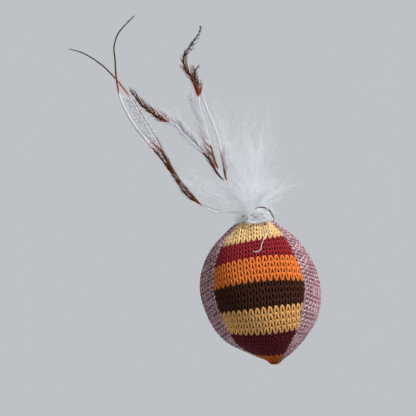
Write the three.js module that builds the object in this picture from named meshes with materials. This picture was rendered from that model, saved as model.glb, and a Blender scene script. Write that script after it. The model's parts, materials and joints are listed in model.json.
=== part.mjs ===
// Knitted feather ball: four knitted gores sewn into a stuffed ball, a rattle capsule in its filling, and
// banded feathers and white down plumes glued into its gathered neck.
// Millimetres, +Z up along the ball's axis. The origin is the middle of the neck. The front gore faces -Y.
import * as THREE from "three";

// Clearances
const clearance = 0.3;

// The knitted ball
const ballRadius = 22.6;
const ballHeight = 52.6;
const shoulderDrop = 2.2;
const knitThickness = 1.2;
const bellySway = 0.6;
const seamDipShare = 0.035;
const tipRadius = 2.0;
const tipShift = 2.55;
const tipLevel = -shoulderDrop - ballHeight;

// The seams inside the ball
const seamAllowance = 3.0;
const seamAllowanceThickness = 1.0;
const seamThreadThickness = 0.5;
const tipKnotShare = 0.35;

// The gathered neck, its winding of thread and the glue inside it
const neckRadius = 4.5;
const neckTop = 2.2;
const neckFoot = 1.4;
const neckKnitThickness = 0.8;
const neckSeamAllowance = 0.25;
const gatherThreadThickness = 0.5;
const gatherThreadGap = 0.45;
const gatherThreadPitch = gatherThreadThickness + gatherThreadGap;
const neckSeamRadius = neckRadius * (1 - seamDipShare);
const plugRadius = neckSeamRadius - neckKnitThickness - neckSeamAllowance - clearance;
const plugDepth = 6.4;

// The filling and the rattle
const fillingTopDepth = plugDepth - neckTop + clearance;
const fillingEndShare = 0.89;
const fillingEndDepth = shoulderDrop + ballHeight * fillingEndShare;
const capsuleMiddleShare = 0.47;
const capsuleDepth = shoulderDrop + ballHeight * capsuleMiddleShare;
const capsuleRadius = 11.0;
const capsuleWall = 0.8;
const capsuleLipWall = 0.5;
const capsuleLipHeight = 1.2;
const pelletRadius = 1.8;
const pelletSpacing = 2 * pelletRadius + clearance;

// The feathers and the down
const quillRootThickness = 0.45;
const quillTipThickness = 0.3;
const vaneThickness = 0.26;
const vaneHalfWidth = 3.0;
const farLeftReach = 93.0;
const tallCurvedReach = 87.8;
const shortLeftReach = 66.7;
const tallMiddleReach = 75.7;
const shortMiddleReach = 61.4;
const plumeRootThickness = 0.45;
const plumeRootRise = 1.5;
const frontPlumeReach = 40.0;
const frontPlumeHalfWidth = 13.0;
const frontPlumeThickness = 3.6;
const leftPlumeReach = 36.0;
const leftPlumeHalfWidth = 8.0;
const leftPlumeThickness = 2.0;
const rightPlumeReach = 20.0;
const rightPlumeHalfWidth = 6.0;
const rightPlumeThickness = 1.6;
const backPlumeReach = 36.0;
const backPlumeHalfWidth = 13.0;
const backPlumeThickness = 3.6;
const rootPitch = Math.max(quillRootThickness, plumeRootThickness) + clearance;
const rootLevel = neckTop + clearance;
const clumpWidth = 9.2;
const clumpDepth = 4.4;
const clumpHeight = 5.2;
const clumpOffset = 2.1;
const clumpRise = 1.6;
const barbThickness = 0.5;

// How far round the ball each seam runs, in degrees from the front, at the shoulder, low down and at the tip
const seams = [
  { name: "front_left", degrees: [-51, -50, -70] },
  { name: "front_right", degrees: [47, 40, 28] },
  { name: "back_right", degrees: [133, 133, 133] },
  { name: "back_left", degrees: [231, 231, 218] },
];
const lowTurnShares = [0.45, 0.65];
const tipTurnShares = [0.74, 0.97];
const tipLeanShares = [0.78, 0.97];
const tipCloseShares = [0.86, 1];

// The ball's outline, as shares of its height down from the shoulder and of its radius
const outlineShares = [
  [0, 0.33],
  [0.05, 0.49],
  [0.12, 0.68],
  [0.22, 0.845],
  [0.34, 0.96],
  [0.46, 1],
  [0.6, 0.955],
  [0.72, 0.845],
  [0.82, 0.655],
  [0.91, 0.37],
  [0.96, 0.19],
];
const tipWallShare = 0.4;
const tipSeamShare = 0.12;
const mostAllowanceShare = 0.5;
const barbDegrees = [110, 85, 60, 35, 10];

// How each banded feather runs, left and up, as shares of its reach from root to tip, and how wide its vane
// is, as pairs of the share of its length and the share of the widest vane
const feathers = [
  {
    name: "far_left_feather",
    plane: -2,
    spreadShare: -0.1,
    reach: farLeftReach,
    routeShares: [
      [0.032, 0.036],
      [0.08, 0.041],
      [0.153, 0.046],
      [0.195, 0.072],
      [0.255, 0.144],
      [0.292, 0.206],
      [0.352, 0.343],
      [0.397, 0.437],
      [0.443, 0.541],
      [0.488, 0.613],
      [0.543, 0.679],
      [0.608, 0.729],
      [0.66, 0.751],
    ],
    vaneShares: [
      [0, 0.1],
      [0.22, 0.25],
      [0.28, 0.85],
      [0.47, 0.8],
      [0.5, 1],
      [0.62, 0.9],
      [0.7, 0.25],
      [1, 0.12],
    ],
  },
  {
    name: "tall_curved_feather",
    plane: -1,
    spreadShare: -0.05,
    reach: tallCurvedReach,
    routeShares: [
      [0.04, 0.034],
      [0.114, 0.044],
      [0.206, 0.082],
      [0.272, 0.132],
      [0.311, 0.203],
      [0.346, 0.269],
      [0.397, 0.35],
      [0.462, 0.449],
      [0.505, 0.555],
      [0.517, 0.65],
      [0.514, 0.738],
      [0.513, 0.787],
      [0.489, 0.843],
      [0.416, 0.91],
    ],
    vaneShares: [
      [0, 0.1],
      [0.2, 0.25],
      [0.26, 0.8],
      [0.42, 0.85],
      [0.47, 0.45],
      [0.64, 0.4],
      [0.72, 0.2],
      [1, 0.15],
    ],
  },
  {
    name: "short_left_feather",
    plane: 0,
    spreadShare: 0,
    reach: shortLeftReach,
    routeShares: [
      [0.045, 0.055],
      [0.074, 0.115],
      [0.12, 0.216],
      [0.162, 0.258],
      [0.22, 0.372],
      [0.267, 0.429],
      [0.348, 0.528],
      [0.373, 0.568],
      [0.468, 0.622],
      [0.562, 0.711],
      [0.612, 0.792],
    ],
    vaneShares: [
      [0, 0.1],
      [0.2, 0.2],
      [0.32, 0.85],
      [0.45, 0.85],
      [0.52, 1],
      [0.7, 0.85],
      [0.85, 0.5],
      [1, 0.15],
    ],
  },
  {
    name: "tall_middle_feather",
    plane: 1,
    spreadShare: 0.05,
    reach: tallMiddleReach,
    routeShares: [
      [0.032, 0.05],
      [0.055, 0.1],
      [0.085, 0.153],
      [0.12, 0.197],
      [0.152, 0.285],
      [0.168, 0.361],
      [0.192, 0.514],
      [0.207, 0.589],
      [0.206, 0.664],
      [0.229, 0.731],
      [0.26, 0.79],
      [0.258, 0.843],
      [0.226, 0.882],
      [0.166, 0.956],
      [0.16, 0.987],
    ],
    vaneShares: [
      [0, 0.1],
      [0.2, 0.25],
      [0.27, 0.75],
      [0.4, 0.8],
      [0.45, 0.65],
      [0.62, 0.6],
      [0.68, 0.9],
      [0.84, 0.7],
      [1, 0.2],
    ],
  },
  {
    name: "short_middle_feather",
    plane: 2,
    spreadShare: 0.1,
    reach: shortMiddleReach,
    routeShares: [
      [0.034, 0.065],
      [0.078, 0.142],
      [0.101, 0.192],
      [0.134, 0.241],
      [0.145, 0.347],
      [0.153, 0.456],
      [0.176, 0.59],
      [0.204, 0.682],
      [0.233, 0.788],
      [0.265, 0.87],
      [0.262, 0.938],
      [0.233, 0.972],
    ],
    vaneShares: [
      [0, 0.1],
      [0.25, 0.3],
      [0.33, 0.85],
      [0.58, 0.75],
      [0.64, 0.4],
      [0.8, 0.4],
      [0.86, 0.75],
      [1, 0.3],
    ],
  },
];

// How each plume of down leans, in degrees from upright to the right, and its size
const plumes = [
  {
    name: "front_down_plume",
    plane: -4,
    spreadShare: -0.34,
    lean: -22,
    reach: frontPlumeReach,
    halfWidth: frontPlumeHalfWidth,
    thickness: frontPlumeThickness,
  },
  {
    name: "left_down_plume",
    plane: -3,
    spreadShare: -0.18,
    lean: -58,
    reach: leftPlumeReach,
    halfWidth: leftPlumeHalfWidth,
    thickness: leftPlumeThickness,
  },
  {
    name: "right_down_plume",
    plane: 3,
    spreadShare: 0.14,
    lean: 62,
    reach: rightPlumeReach,
    halfWidth: rightPlumeHalfWidth,
    thickness: rightPlumeThickness,
  },
  {
    name: "back_down_plume",
    plane: 4,
    spreadShare: 0.32,
    lean: 10,
    reach: backPlumeReach,
    halfWidth: backPlumeHalfWidth,
    thickness: backPlumeThickness,
  },
];
const plumeRouteShares = [0.3, 0.65, 1];
const plumeOutlineShares = [
  [0, 0.02],
  [0.12, 0.22],
  [0.35, 0.75],
  [0.6, 1],
  [0.8, 0.82],
  [0.93, 0.45],
  [1, 0.12],
];

// How finely each form is drawn
const panelRows = 17;
const panelColumns = 8;
const seamThreadRows = 14;
const fillingRows = 7;
const landSteps = 4;
const roundSegments = 20;
const arcSteps = 5;
const stepsPerTurn = 24;
const threadSides = 6;
const quarterTurns = (4 * (neckTop + neckFoot - gatherThreadThickness - 2 * clearance)) / gatherThreadPitch;
const gatherTurns = Math.floor(quarterTurns) / 4;
const featherSteps = 30;
const plumeSteps = 10;
const plumeSides = 8;
const pelletDetail = 1;
const roundedSides = 12;
const roundedRings = 8;
const knotSides = 10;
const knotRings = 6;
const barbSteps = 12;
const barbCurveSegments = 3;
const halvings = 40;

const colours = {
  stripedKnit: 0xc0702e,
  mauveKnit: 0x8f6f78,
  seamThread: 0xd8d2cc,
  gatherThread: 0xe6e4e2,
  glue: 0xe3dcc4,
  filling: 0xf0eeea,
  capsule: 0xe8e6df,
  pellet: 0xb4b7ba,
  brownFeather: 0x5a2e14,
  down: 0xe6eaef,
  brownBarb: 0x4a2c1c,
};

const degree = Math.PI / 180;
const lerp = THREE.MathUtils.lerp;
const smoothstep = THREE.MathUtils.smoothstep;

// A closed geometry from points and triangles, with its faces turned outwards.
function closedGeometry(points, triangles) {
  let volume = 0;
  for (const [a, b, c] of triangles) volume += points[a].dot(points[b].clone().cross(points[c]));
  const facing = volume < 0 ? triangles.map(([a, b, c]) => [a, c, b]) : triangles;
  const geometry = new THREE.BufferGeometry().setFromPoints(points);
  geometry.setIndex(facing.flat());
  geometry.computeVertexNormals();
  return geometry;
}

// The wall between two facing grids of points, such as the right and wrong side of a piece of cloth.
function slab(outside, inside) {
  const rows = outside.length;
  const columns = outside[0].length;
  const points = [...outside.flat(), ...inside.flat()];
  const triangles = [];
  const quad = (a, b, c, d) => triangles.push([a, b, c], [a, c, d]);
  const out = (row, column) => row * columns + column;
  const back = (row, column) => rows * columns + row * columns + column;
  for (let row = 0; row < rows - 1; row++) {
    for (let column = 0; column < columns - 1; column++) {
      quad(out(row, column), out(row, column + 1), out(row + 1, column + 1), out(row + 1, column));
      quad(back(row, column), back(row + 1, column), back(row + 1, column + 1), back(row, column + 1));
    }
    quad(out(row, 0), out(row + 1, 0), back(row + 1, 0), back(row, 0));
    const last = columns - 1;
    quad(out(row, last), back(row, last), back(row + 1, last), out(row + 1, last));
  }
  for (let column = 0; column < columns - 1; column++) {
    quad(out(0, column), back(0, column), back(0, column + 1), out(0, column + 1));
    const last = rows - 1;
    quad(out(last, column), out(last, column + 1), back(last, column + 1), back(last, column));
  }
  return closedGeometry(points, triangles);
}

// A closed skin over a row of rings. Each end is closed by a fan round a point, or round the ring's middle.
function ringLoft(rings, startPoint, endPoint) {
  const sides = rings[0].length;
  const points = rings.flat();
  const triangles = [];
  for (let ring = 0; ring < rings.length - 1; ring++) {
    for (let side = 0; side < sides; side++) {
      const next = (side + 1) % sides;
      const [a, b] = [ring * sides + side, ring * sides + next];
      triangles.push([a, b, b + sides], [a, b + sides, a + sides]);
    }
  }
  const middle = (ring) => ring.reduce((sum, p) => sum.add(p), new THREE.Vector3()).divideScalar(sides);
  const start = points.push(startPoint ?? middle(rings[0])) - 1;
  const end = points.push(endPoint ?? middle(rings[rings.length - 1])) - 1;
  const lastRing = (rings.length - 1) * sides;
  for (let side = 0; side < sides; side++) {
    const next = (side + 1) % sides;
    triangles.push([start, next, side], [end, lastRing + side, lastRing + next]);
  }
  return closedGeometry(points, triangles);
}

// The value at a share along a table of pairs, smoothed between them.
function along(table, share) {
  const after = table.findIndex(([at]) => at >= share);
  if (after <= 0) return table[0][1];
  const [[from, low], [to, high]] = [table[after - 1], table[after]];
  return lerp(low, high, smoothstep(share, from, to));
}

function named(name, geometry, colour, roughness = 0.9, metalness = 0) {
  const material = new THREE.MeshStandardMaterial({ color: colour, roughness, metalness });
  const mesh = new THREE.Mesh(geometry, material);
  mesh.name = name;
  return mesh;
}

// The ball's surface

const place = (radius, height) => new THREE.Vector2(radius, height);
const outline = new THREE.SplineCurve([
  place(neckRadius, neckTop),
  place(neckRadius, (neckTop - neckFoot) / 2),
  place(neckRadius, -neckFoot),
  ...outlineShares.map(([down, out]) => place(out * ballRadius, -shoulderDrop - down * ballHeight)),
  place(tipRadius, tipLevel),
]);

// One level of the ball: its radius half way across a gore and at a seam, its height, its wall and seam
// allowance there, and how far its middle leans.
function levelAt(share) {
  const { x: radius, y: z } = outline.getPointAt(share);
  const down = Math.max(0, (-shoulderDrop - z) / ballHeight);
  const gathered = smoothstep(z, -neckFoot - knitThickness, -neckFoot);
  const wall = Math.min(lerp(knitThickness, neckKnitThickness, gathered), radius * tipWallShare);
  const seamRadius = radius * fullness(0);
  const inner = seamRadius - wall;
  const room = inner - plugRadius - 2 * clearance;
  const allowance = Math.min(seamAllowance, Math.max(neckSeamAllowance, room), inner * mostAllowanceShare);
  const closing = smoothstep(down, ...tipCloseShares);
  return {
    z,
    down,
    radius,
    seamRadius,
    wall,
    inner,
    allowance: lerp(allowance, inner * tipSeamShare, closing),
    allowanceThickness: Math.min(seamAllowanceThickness, radius * tipSeamShare),
    lean: tipShift * smoothstep(down, ...tipLeanShares) - bellySway * Math.sin(2 * Math.PI * down),
  };
}

// The levels at which the gores are drawn: along the neck, and then evenly down to the tip.
function panelLevels() {
  const foot = shareAtDepth(neckFoot);
  const below = [];
  for (let row = 1; row <= panelRows; row++) below.push(levelAt(lerp(foot, 1, row / panelRows)));
  return [levelAt(0), levelAt(foot), ...below];
}

// The share along the outline at which the ball has a depth below the origin.
function shareAtDepth(depth) {
  let [low, high] = [0, 1];
  for (let i = 0; i < halvings; i++) {
    const middle = (low + high) / 2;
    if (outline.getPointAt(middle).y > -depth) low = middle;
    else high = middle;
  }
  return low;
}

function seamDegrees(seam, level) {
  const [upper, lower, tip] = seams[seam % seams.length].degrees;
  const low = lerp(upper, lower, smoothstep(level.down, ...lowTurnShares));
  const turn = seam >= seams.length ? 360 : 0;
  return lerp(low, tip, smoothstep(level.down, ...tipTurnShares)) + turn;
}

// A point on a level, at a bearing from the front and a radius, and moved sideways across that bearing.
function around(level, bearing, radius, across = 0) {
  const [sin, cos] = [Math.sin(bearing * degree), Math.cos(bearing * degree)];
  return new THREE.Vector3(level.lean + radius * sin + across * cos, across * sin - radius * cos, level.z);
}

// A stuffed gore is fullest half way between its seams, and dips to the seam at each side.
function fullness(share) {
  return 1 - seamDipShare * Math.abs(2 * share - 1) ** 3;
}

function panel(name, seam, colour) {
  const [outside, inside] = [[], []];
  for (const level of panelLevels()) {
    const [from, to] = [seamDegrees(seam, level), seamDegrees(seam + 1, level)];
    const edge = clearance / 2;
    const behind = edge + level.allowanceThickness;
    const flap = level.inner - level.allowance;
    const outer = [around(level, from, flap, edge), around(level, from, level.seamRadius, edge)];
    const inner = [around(level, from, flap, behind), around(level, from, level.inner, behind)];
    for (let column = 1; column < panelColumns; column++) {
      const share = column / panelColumns;
      const radius = level.radius * fullness(share);
      outer.push(around(level, lerp(from, to, share), radius));
      inner.push(around(level, lerp(from, to, share), radius - level.wall));
    }
    outer.push(around(level, to, level.seamRadius, -edge), around(level, to, flap, -edge));
    inner.push(around(level, to, level.inner, -behind), around(level, to, flap, -behind));
    outside.push(outer);
    inside.push(inner);
  }
  return named(name, slab(outside, inside), colour);
}

// The overlocked thread that wraps the two allowances of a seam, open towards the cloth.
function seamThread(seam) {
  const [first, last] = [shareAtDepth(fillingTopDepth), shareAtDepth(fillingEndDepth)];
  const [outside, inside] = [[], []];
  for (let row = 0; row <= seamThreadRows; row++) {
    const level = levelAt(lerp(first, last, row / seamThreadRows));
    const bearing = seamDegrees(seam, level);
    const near = clearance / 2 + level.allowanceThickness + clearance;
    const far = near + seamThreadThickness;
    const top = level.inner - 2 * clearance;
    const foot = level.inner - level.allowance - clearance;
    const under = foot - seamThreadThickness;
    const at = (radius, across) => around(level, bearing, radius, across);
    outside.push([at(top, -far), at(under, -far), at(under, far), at(top, far)]);
    inside.push([at(top, -near), at(foot, -near), at(foot, near), at(top, near)]);
  }
  return named(seams[seam].name + "_seam_thread", slab(outside, inside), colours.seamThread);
}

// The gathering thread: one unbroken winding round the neck, whose two ends run straight on

class NeckWinding extends THREE.Curve {
  constructor() {
    super();
    this.radius = neckRadius + clearance + gatherThreadThickness / 2;
    this.foot = -neckFoot + clearance + gatherThreadThickness / 2;
    this.turn = Math.hypot(2 * Math.PI * this.radius, gatherThreadPitch);
    this.wound = gatherTurns * this.turn;
    this.total = this.wound + 2 * gatherThreadThickness;
  }
  onTurn(distance) {
    const turns = distance / this.turn;
    const angle = turns * 2 * Math.PI;
    return new THREE.Vector3(
      this.radius * Math.sin(angle),
      this.radius * Math.cos(angle),
      this.foot + turns * gatherThreadPitch,
    );
  }
  getPoint(share, target = new THREE.Vector3()) {
    const distance = share * this.total - gatherThreadThickness;
    const nearest = THREE.MathUtils.clamp(distance, 0, this.wound);
    const past = distance - nearest;
    const turned = (nearest / this.turn) * 2 * Math.PI;
    const ahead = new THREE.Vector3(Math.cos(turned), -Math.sin(turned), 0);
    return target.copy(this.onTurn(nearest)).addScaledVector(ahead, past);
  }
}

function gatheringThread() {
  const path = new NeckWinding();
  const section = new THREE.Shape();
  for (let side = 0; side < threadSides; side++) {
    const angle = (side / threadSides) * 2 * Math.PI;
    const [x, y] = [Math.cos(angle), Math.sin(angle)].map((v) => (v * gatherThreadThickness) / 2);
    if (side === 0) section.moveTo(x, y);
    else section.lineTo(x, y);
  }
  section.closePath();
  const steps = Math.round(gatherTurns * stepsPerTurn);
  const geometry = new THREE.ExtrudeGeometry(section, { steps, extrudePath: path, bevelEnabled: false });
  console.log("gathering thread, least gap between turns:", leastGap(path).toFixed(2), "mm");
  return named("gathering_thread", geometry, colours.gatherThread);
}

// The least gap between stretches of the winding that are at least half a turn apart.
function leastGap(path) {
  const samples = path.getPoints(Math.round(gatherTurns * stepsPerTurn * 2));
  let least = Infinity;
  for (let i = 0; i < samples.length; i++) {
    for (let j = i + stepsPerTurn; j < samples.length; j++) {
      least = Math.min(least, samples[i].distanceTo(samples[j]));
    }
  }
  return least - gatherThreadThickness;
}

// A solid of revolution about +Z, from a profile of radius and height that starts and ends on the axis.
function turned(profile, segments = roundSegments) {
  const geometry = new THREE.LatheGeometry(
    profile.map(([radius, height]) => new THREE.Vector2(radius, height)),
    segments,
  );
  return geometry.rotateX(Math.PI / 2);
}

function glue() {
  const profile = [
    [0, neckTop - plugDepth],
    [plugRadius, neckTop - plugDepth],
    [plugRadius, neckTop],
    [0, neckTop],
  ];
  return named("neck_glue_plug", turned(profile), colours.glue, 0.35);
}

function tipKnot() {
  const radius = tipRadius * tipKnotShare;
  const geometry = new THREE.SphereGeometry(radius, knotSides, knotRings).rotateX(Math.PI / 2);
  const mesh = named("tip_knot", geometry, colours.seamThread);
  mesh.position.set(tipShift, 0, tipLevel + radius / 2);
  return mesh;
}

// The filling, in two halves that meet round the rattle and are grooved where the seams run

function fillingRing(level) {
  const far = clearance / 2 + level.allowanceThickness + clearance + seamThreadThickness + clearance;
  const floor = level.inner - level.allowance - 2 * clearance - seamThreadThickness;
  const land = level.inner - clearance;
  const ring = [];
  for (let seam = 0; seam < seams.length; seam++) {
    const [from, to] = [seamDegrees(seam, level), seamDegrees(seam + 1, level)];
    const inset = Math.asin(far / land) / degree;
    ring.push(around(level, from, floor, -far), around(level, from, floor, far));
    ring.push(around(level, from, land, far));
    for (let step = 1; step < landSteps; step++) {
      const bearing = lerp(from + inset, to - inset, step / landSteps);
      const share = (bearing - from) / (to - from);
      ring.push(around(level, bearing, level.radius * fullness(share) - level.wall - clearance));
    }
    ring.push(around(level, to, land, -far));
  }
  return ring;
}

// Bearings round the hollow that keep the order of the points of the ring outside it.
function hollowBearings(level) {
  const bearings = [];
  for (let seam = 0; seam < seams.length; seam++) {
    const [from, to] = [seamDegrees(seam, level), seamDegrees(seam + 1, level)];
    const steps = landSteps + 3;
    const start = from - (to - from) / steps / 2;
    for (let step = 0; step < steps; step++) bearings.push(lerp(start, to, step / steps));
  }
  return bearings;
}

function filling(name, openDepth, closedDepth, up) {
  const [far, near] = [shareAtDepth(closedDepth), shareAtDepth(openDepth)];
  const rings = [];
  for (let row = 0; row <= fillingRows; row++) {
    rings.push(fillingRing(levelAt(lerp(far, near, row / fillingRows))));
  }
  const bearings = hollowBearings(levelAt(near));
  const hollow = capsuleRadius + clearance;
  const foot = Math.asin(clearance / 2 / hollow);
  for (let step = 0; step < arcSteps; step++) {
    const rise = lerp(foot, Math.PI / 2, step / arcSteps);
    const level = { z: -capsuleDepth + up * hollow * Math.sin(rise), lean: 0 };
    rings.push(bearings.map((bearing) => around(level, bearing, hollow * Math.cos(rise))));
  }
  const crown = new THREE.Vector3(0, 0, -capsuleDepth + up * hollow);
  return named(name, ringLoft(rings, undefined, crown), colours.filling);
}

// The rattle: a capsule in two halves, whose base has a lip inside the top, with loose pellets

function arc(radius, fromDegrees, toDegrees) {
  const points = [];
  for (let step = 0; step <= arcSteps; step++) {
    const angle = lerp(fromDegrees, toDegrees, step / arcSteps) * degree;
    points.push([radius * Math.cos(angle), radius * Math.sin(angle)]);
  }
  return points;
}

function onAxis(points) {
  return points.map(([radius, height]) => [Math.abs(radius) < 1e-9 ? 0 : radius, height]);
}

function capsule() {
  const inner = capsuleRadius - capsuleWall;
  const half = clearance / 2;
  const rim = (radius) => Math.asin(half / radius) / degree;
  const lipOuter = inner - clearance;
  const lipInner = lipOuter - capsuleLipWall;
  const lipFoot = -Math.acos(lipInner / inner) / degree;
  const top = onAxis([...arc(inner, 90, rim(inner)), ...arc(capsuleRadius, rim(capsuleRadius), 90)]);
  const base = onAxis([
    ...arc(capsuleRadius, -90, -rim(capsuleRadius)),
    [lipOuter, -half],
    [lipOuter, capsuleLipHeight],
    [lipInner, capsuleLipHeight],
    ...arc(inner, lipFoot, -90),
  ]);
  const halves = [
    named("rattle_capsule_top", turned(top), colours.capsule, 0.3),
    named("rattle_capsule_base", turned(base), colours.capsule, 0.3),
  ];
  for (const mesh of halves) mesh.position.z = -capsuleDepth;
  return halves;
}

// The pellets lie on the capsule's floor. Each rolls in a circle of its own, whose axis lies a little low, so
// that it clears the lip and still meets the floor.
function pellets() {
  const inner = capsuleRadius - capsuleWall;
  const lipInner = inner - clearance - capsuleLipWall;
  const reach = lipInner - clearance - pelletRadius;
  const axisDrop = inner - clearance - pelletRadius - reach;
  console.log("pellets turn about z =", (-capsuleDepth - axisDrop).toFixed(3), "mm");
  return ["left", "middle", "right"].map((side, index) => {
    const offset = (index - 1) * pelletSpacing;
    const geometry = new THREE.IcosahedronGeometry(pelletRadius, pelletDetail);
    const mesh = named("rattle_pellet_" + side, geometry, colours.pellet, 0.35, 0.9);
    mesh.position.set(offset, 0, -capsuleDepth - axisDrop - Math.sqrt(reach ** 2 - offset ** 2));
    return mesh;
  });
}

// Feathers and plumes stand in layers from front to back. Each layer's depth grows with the distance from the
// root, so that the layers fan out and pass each other when they swing.

function layerDepth(piece, x, z) {
  return piece.plane * rootPitch + piece.spreadShare * Math.hypot(x, z - neckTop);
}

// A ring across a layer at a place on a route, from places given along the width and through the thickness.
function ringAcross(piece, route, share, places) {
  const point = route.getPointAt(share);
  const tangent = route.getTangentAt(share);
  const side = new THREE.Vector2(tangent.z, -tangent.x);
  return places.map(([width, through]) => {
    const [x, z] = [point.x + width * side.x, point.z + width * side.y];
    return new THREE.Vector3(x, layerDepth(piece, x, z) + through, z);
  });
}

function feather(piece) {
  const places = piece.routeShares.map(
    ([left, up]) => new THREE.Vector3(-left * piece.reach, 0, up * piece.reach),
  );
  const root = new THREE.Vector3(0, 0, rootLevel);
  const route = new THREE.CatmullRomCurve3([root, ...places], false, "centripetal");
  const rings = [];
  for (let step = 0; step <= featherSteps; step++) {
    const share = step / featherSteps;
    const width = vaneHalfWidth * along(piece.vaneShares, share);
    const quill = lerp(quillRootThickness, quillTipThickness, share) / 2;
    const edge = vaneThickness / 2;
    rings.push(
      ringAcross(piece, route, share, [
        [-width, -edge],
        [0, -quill],
        [width, -edge],
        [width, edge],
        [0, quill],
        [-width, edge],
      ]),
    );
  }
  return named(piece.name, ringLoft(rings), colours.brownFeather, 0.7);
}

function plume(piece) {
  const lean = piece.lean * degree;
  const root = new THREE.Vector3(0, 0, rootLevel);
  const risen = new THREE.Vector3(0, 0, rootLevel + plumeRootRise);
  const leaning = new THREE.Vector3(Math.sin(lean), 0, Math.cos(lean));
  const places = plumeRouteShares.map((share) =>
    risen.clone().addScaledVector(leaning, share * piece.reach),
  );
  const route = new THREE.CatmullRomCurve3([root, risen, ...places], false, "centripetal");
  const rings = [];
  for (let step = 0; step <= plumeSteps; step++) {
    const share = step / plumeSteps;
    const full = along(plumeOutlineShares, share);
    const [wide, thick] = [
      Math.max(plumeRootThickness / 2, full * piece.halfWidth),
      Math.max(plumeRootThickness / 2, (full * piece.thickness) / 2),
    ];
    const ellipse = [];
    for (let side = 0; side < plumeSides; side++) {
      const angle = (side / plumeSides) * 2 * Math.PI;
      ellipse.push([wide * Math.cos(angle), thick * Math.sin(angle)]);
    }
    rings.push(ringAcross(piece, route, share, ellipse));
  }
  return named(piece.name, ringLoft(rings), colours.down);
}

// The curled clump of down in front of the neck, and the brown barb that curls over it

const clumpBack = -(neckRadius + 2 * clearance + gatherThreadThickness);

function downClump() {
  const geometry = new THREE.SphereGeometry(1, roundedSides, roundedRings);
  geometry.scale(clumpWidth / 2, clumpDepth / 2, clumpHeight / 2);
  const mesh = named("curled_down_clump", geometry, colours.down);
  mesh.position.set(clumpOffset, clumpBack - clumpDepth / 2, clumpRise);
  return mesh;
}

function curledBarb() {
  const lift = clearance + barbThickness / 2;
  const [across, high] = [clumpWidth / 2 + lift, clumpHeight / 2 + lift];
  const route = barbDegrees.map(
    (angle) => new THREE.Vector3(across * Math.cos(angle * degree), 0, high * Math.sin(angle * degree)),
  );
  const section = new THREE.Shape().absarc(0, 0, barbThickness / 2, 0, 2 * Math.PI);
  const path = new THREE.CatmullRomCurve3(route);
  const geometry = new THREE.ExtrudeGeometry(section, {
    steps: barbSteps,
    curveSegments: barbCurveSegments,
    extrudePath: path,
    bevelEnabled: false,
  });
  const mesh = named("curled_brown_barb", geometry, colours.brownBarb, 0.7);
  mesh.position.set(clumpOffset, clumpBack - clumpDepth / 2, clumpRise);
  return mesh;
}

const toy = new THREE.Group();
toy.add(
  panel("front_striped_panel", 0, colours.stripedKnit),
  panel("right_mauve_panel", 1, colours.mauveKnit),
  panel("back_striped_panel", 2, colours.stripedKnit),
  panel("left_mauve_panel", 3, colours.mauveKnit),
  ...seams.map((_, seam) => seamThread(seam)),
  tipKnot(),
  gatheringThread(),
  glue(),
  filling("upper_filling", capsuleDepth - clearance / 2, fillingTopDepth, 1),
  filling("lower_filling", capsuleDepth + clearance / 2, fillingEndDepth, -1),
  ...capsule(),
  ...pellets(),
  ...feathers.map(feather),
  ...plumes.map(plume),
  downClump(),
  curledBarb(),
);

export default toy;
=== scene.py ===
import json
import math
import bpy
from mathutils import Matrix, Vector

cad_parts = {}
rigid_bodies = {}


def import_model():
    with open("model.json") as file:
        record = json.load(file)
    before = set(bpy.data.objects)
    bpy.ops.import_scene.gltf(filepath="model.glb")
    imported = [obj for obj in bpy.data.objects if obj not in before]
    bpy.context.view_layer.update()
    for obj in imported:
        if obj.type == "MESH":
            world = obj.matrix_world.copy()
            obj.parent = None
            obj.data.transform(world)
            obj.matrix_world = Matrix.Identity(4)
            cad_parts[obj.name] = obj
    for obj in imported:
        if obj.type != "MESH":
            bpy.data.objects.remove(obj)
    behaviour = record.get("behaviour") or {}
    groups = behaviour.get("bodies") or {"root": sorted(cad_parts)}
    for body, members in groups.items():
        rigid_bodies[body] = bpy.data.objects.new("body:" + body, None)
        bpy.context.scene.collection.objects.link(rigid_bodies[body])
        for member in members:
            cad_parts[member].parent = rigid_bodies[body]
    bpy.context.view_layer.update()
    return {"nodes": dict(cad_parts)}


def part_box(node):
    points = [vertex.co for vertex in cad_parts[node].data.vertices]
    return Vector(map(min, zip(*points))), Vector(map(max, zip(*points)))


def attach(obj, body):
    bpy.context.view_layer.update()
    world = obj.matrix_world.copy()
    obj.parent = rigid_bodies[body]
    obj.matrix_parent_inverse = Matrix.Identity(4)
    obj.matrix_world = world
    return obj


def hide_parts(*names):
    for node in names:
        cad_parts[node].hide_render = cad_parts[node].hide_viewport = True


bl_info = {
    "name": "Knitted feather ball",
    "version": (1, 0, 0),
    "blender": (4, 5, 0),
    "location": "View3D > Sidebar > Feather ball",
    "description": "Dresses the packed model of a knitted ball toy with yarn, feathers and down",
    "category": "Object",
}

import bmesh
import bpy
import numpy as np
from mathutils import Matrix, Vector

for leftover in list(bpy.data.objects):
    bpy.data.objects.remove(leftover)
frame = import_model()

# One millimetre in metres. The sizes below are in millimetres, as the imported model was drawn.
MM = 0.001

# Sizes of the ball
BALL_RADIUS = 22.6
BALL_HEIGHT = 52.6
SHOULDER_DROP = 2.2
NECK_RADIUS = 4.5
NECK_TOP = 2.2
NECK_FOOT = 1.4
TIP_RADIUS = 2.0
TIP_SHIFT = 2.55
TIP_LEVEL = -SHOULDER_DROP - BALL_HEIGHT
BELLY_SWAY = 0.6
SEAM_DIP_SHARE = 0.035
CLEARANCE = 0.3
# Each pair is a share of the ball's height and a share of its radius.
OUTLINE_SHARES = [
    (0, 0.33), (0.05, 0.49), (0.12, 0.68), (0.22, 0.845), (0.34, 0.96), (0.46, 1), (0.6, 0.955),
    (0.72, 0.845), (0.82, 0.655), (0.91, 0.37), (0.96, 0.19),
]
TIP_LEAN_SHARES = (0.78, 0.97)
LOW_TURN_SHARES = (0.45, 0.65)
TIP_TURN_SHARES = (0.74, 0.97)
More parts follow.
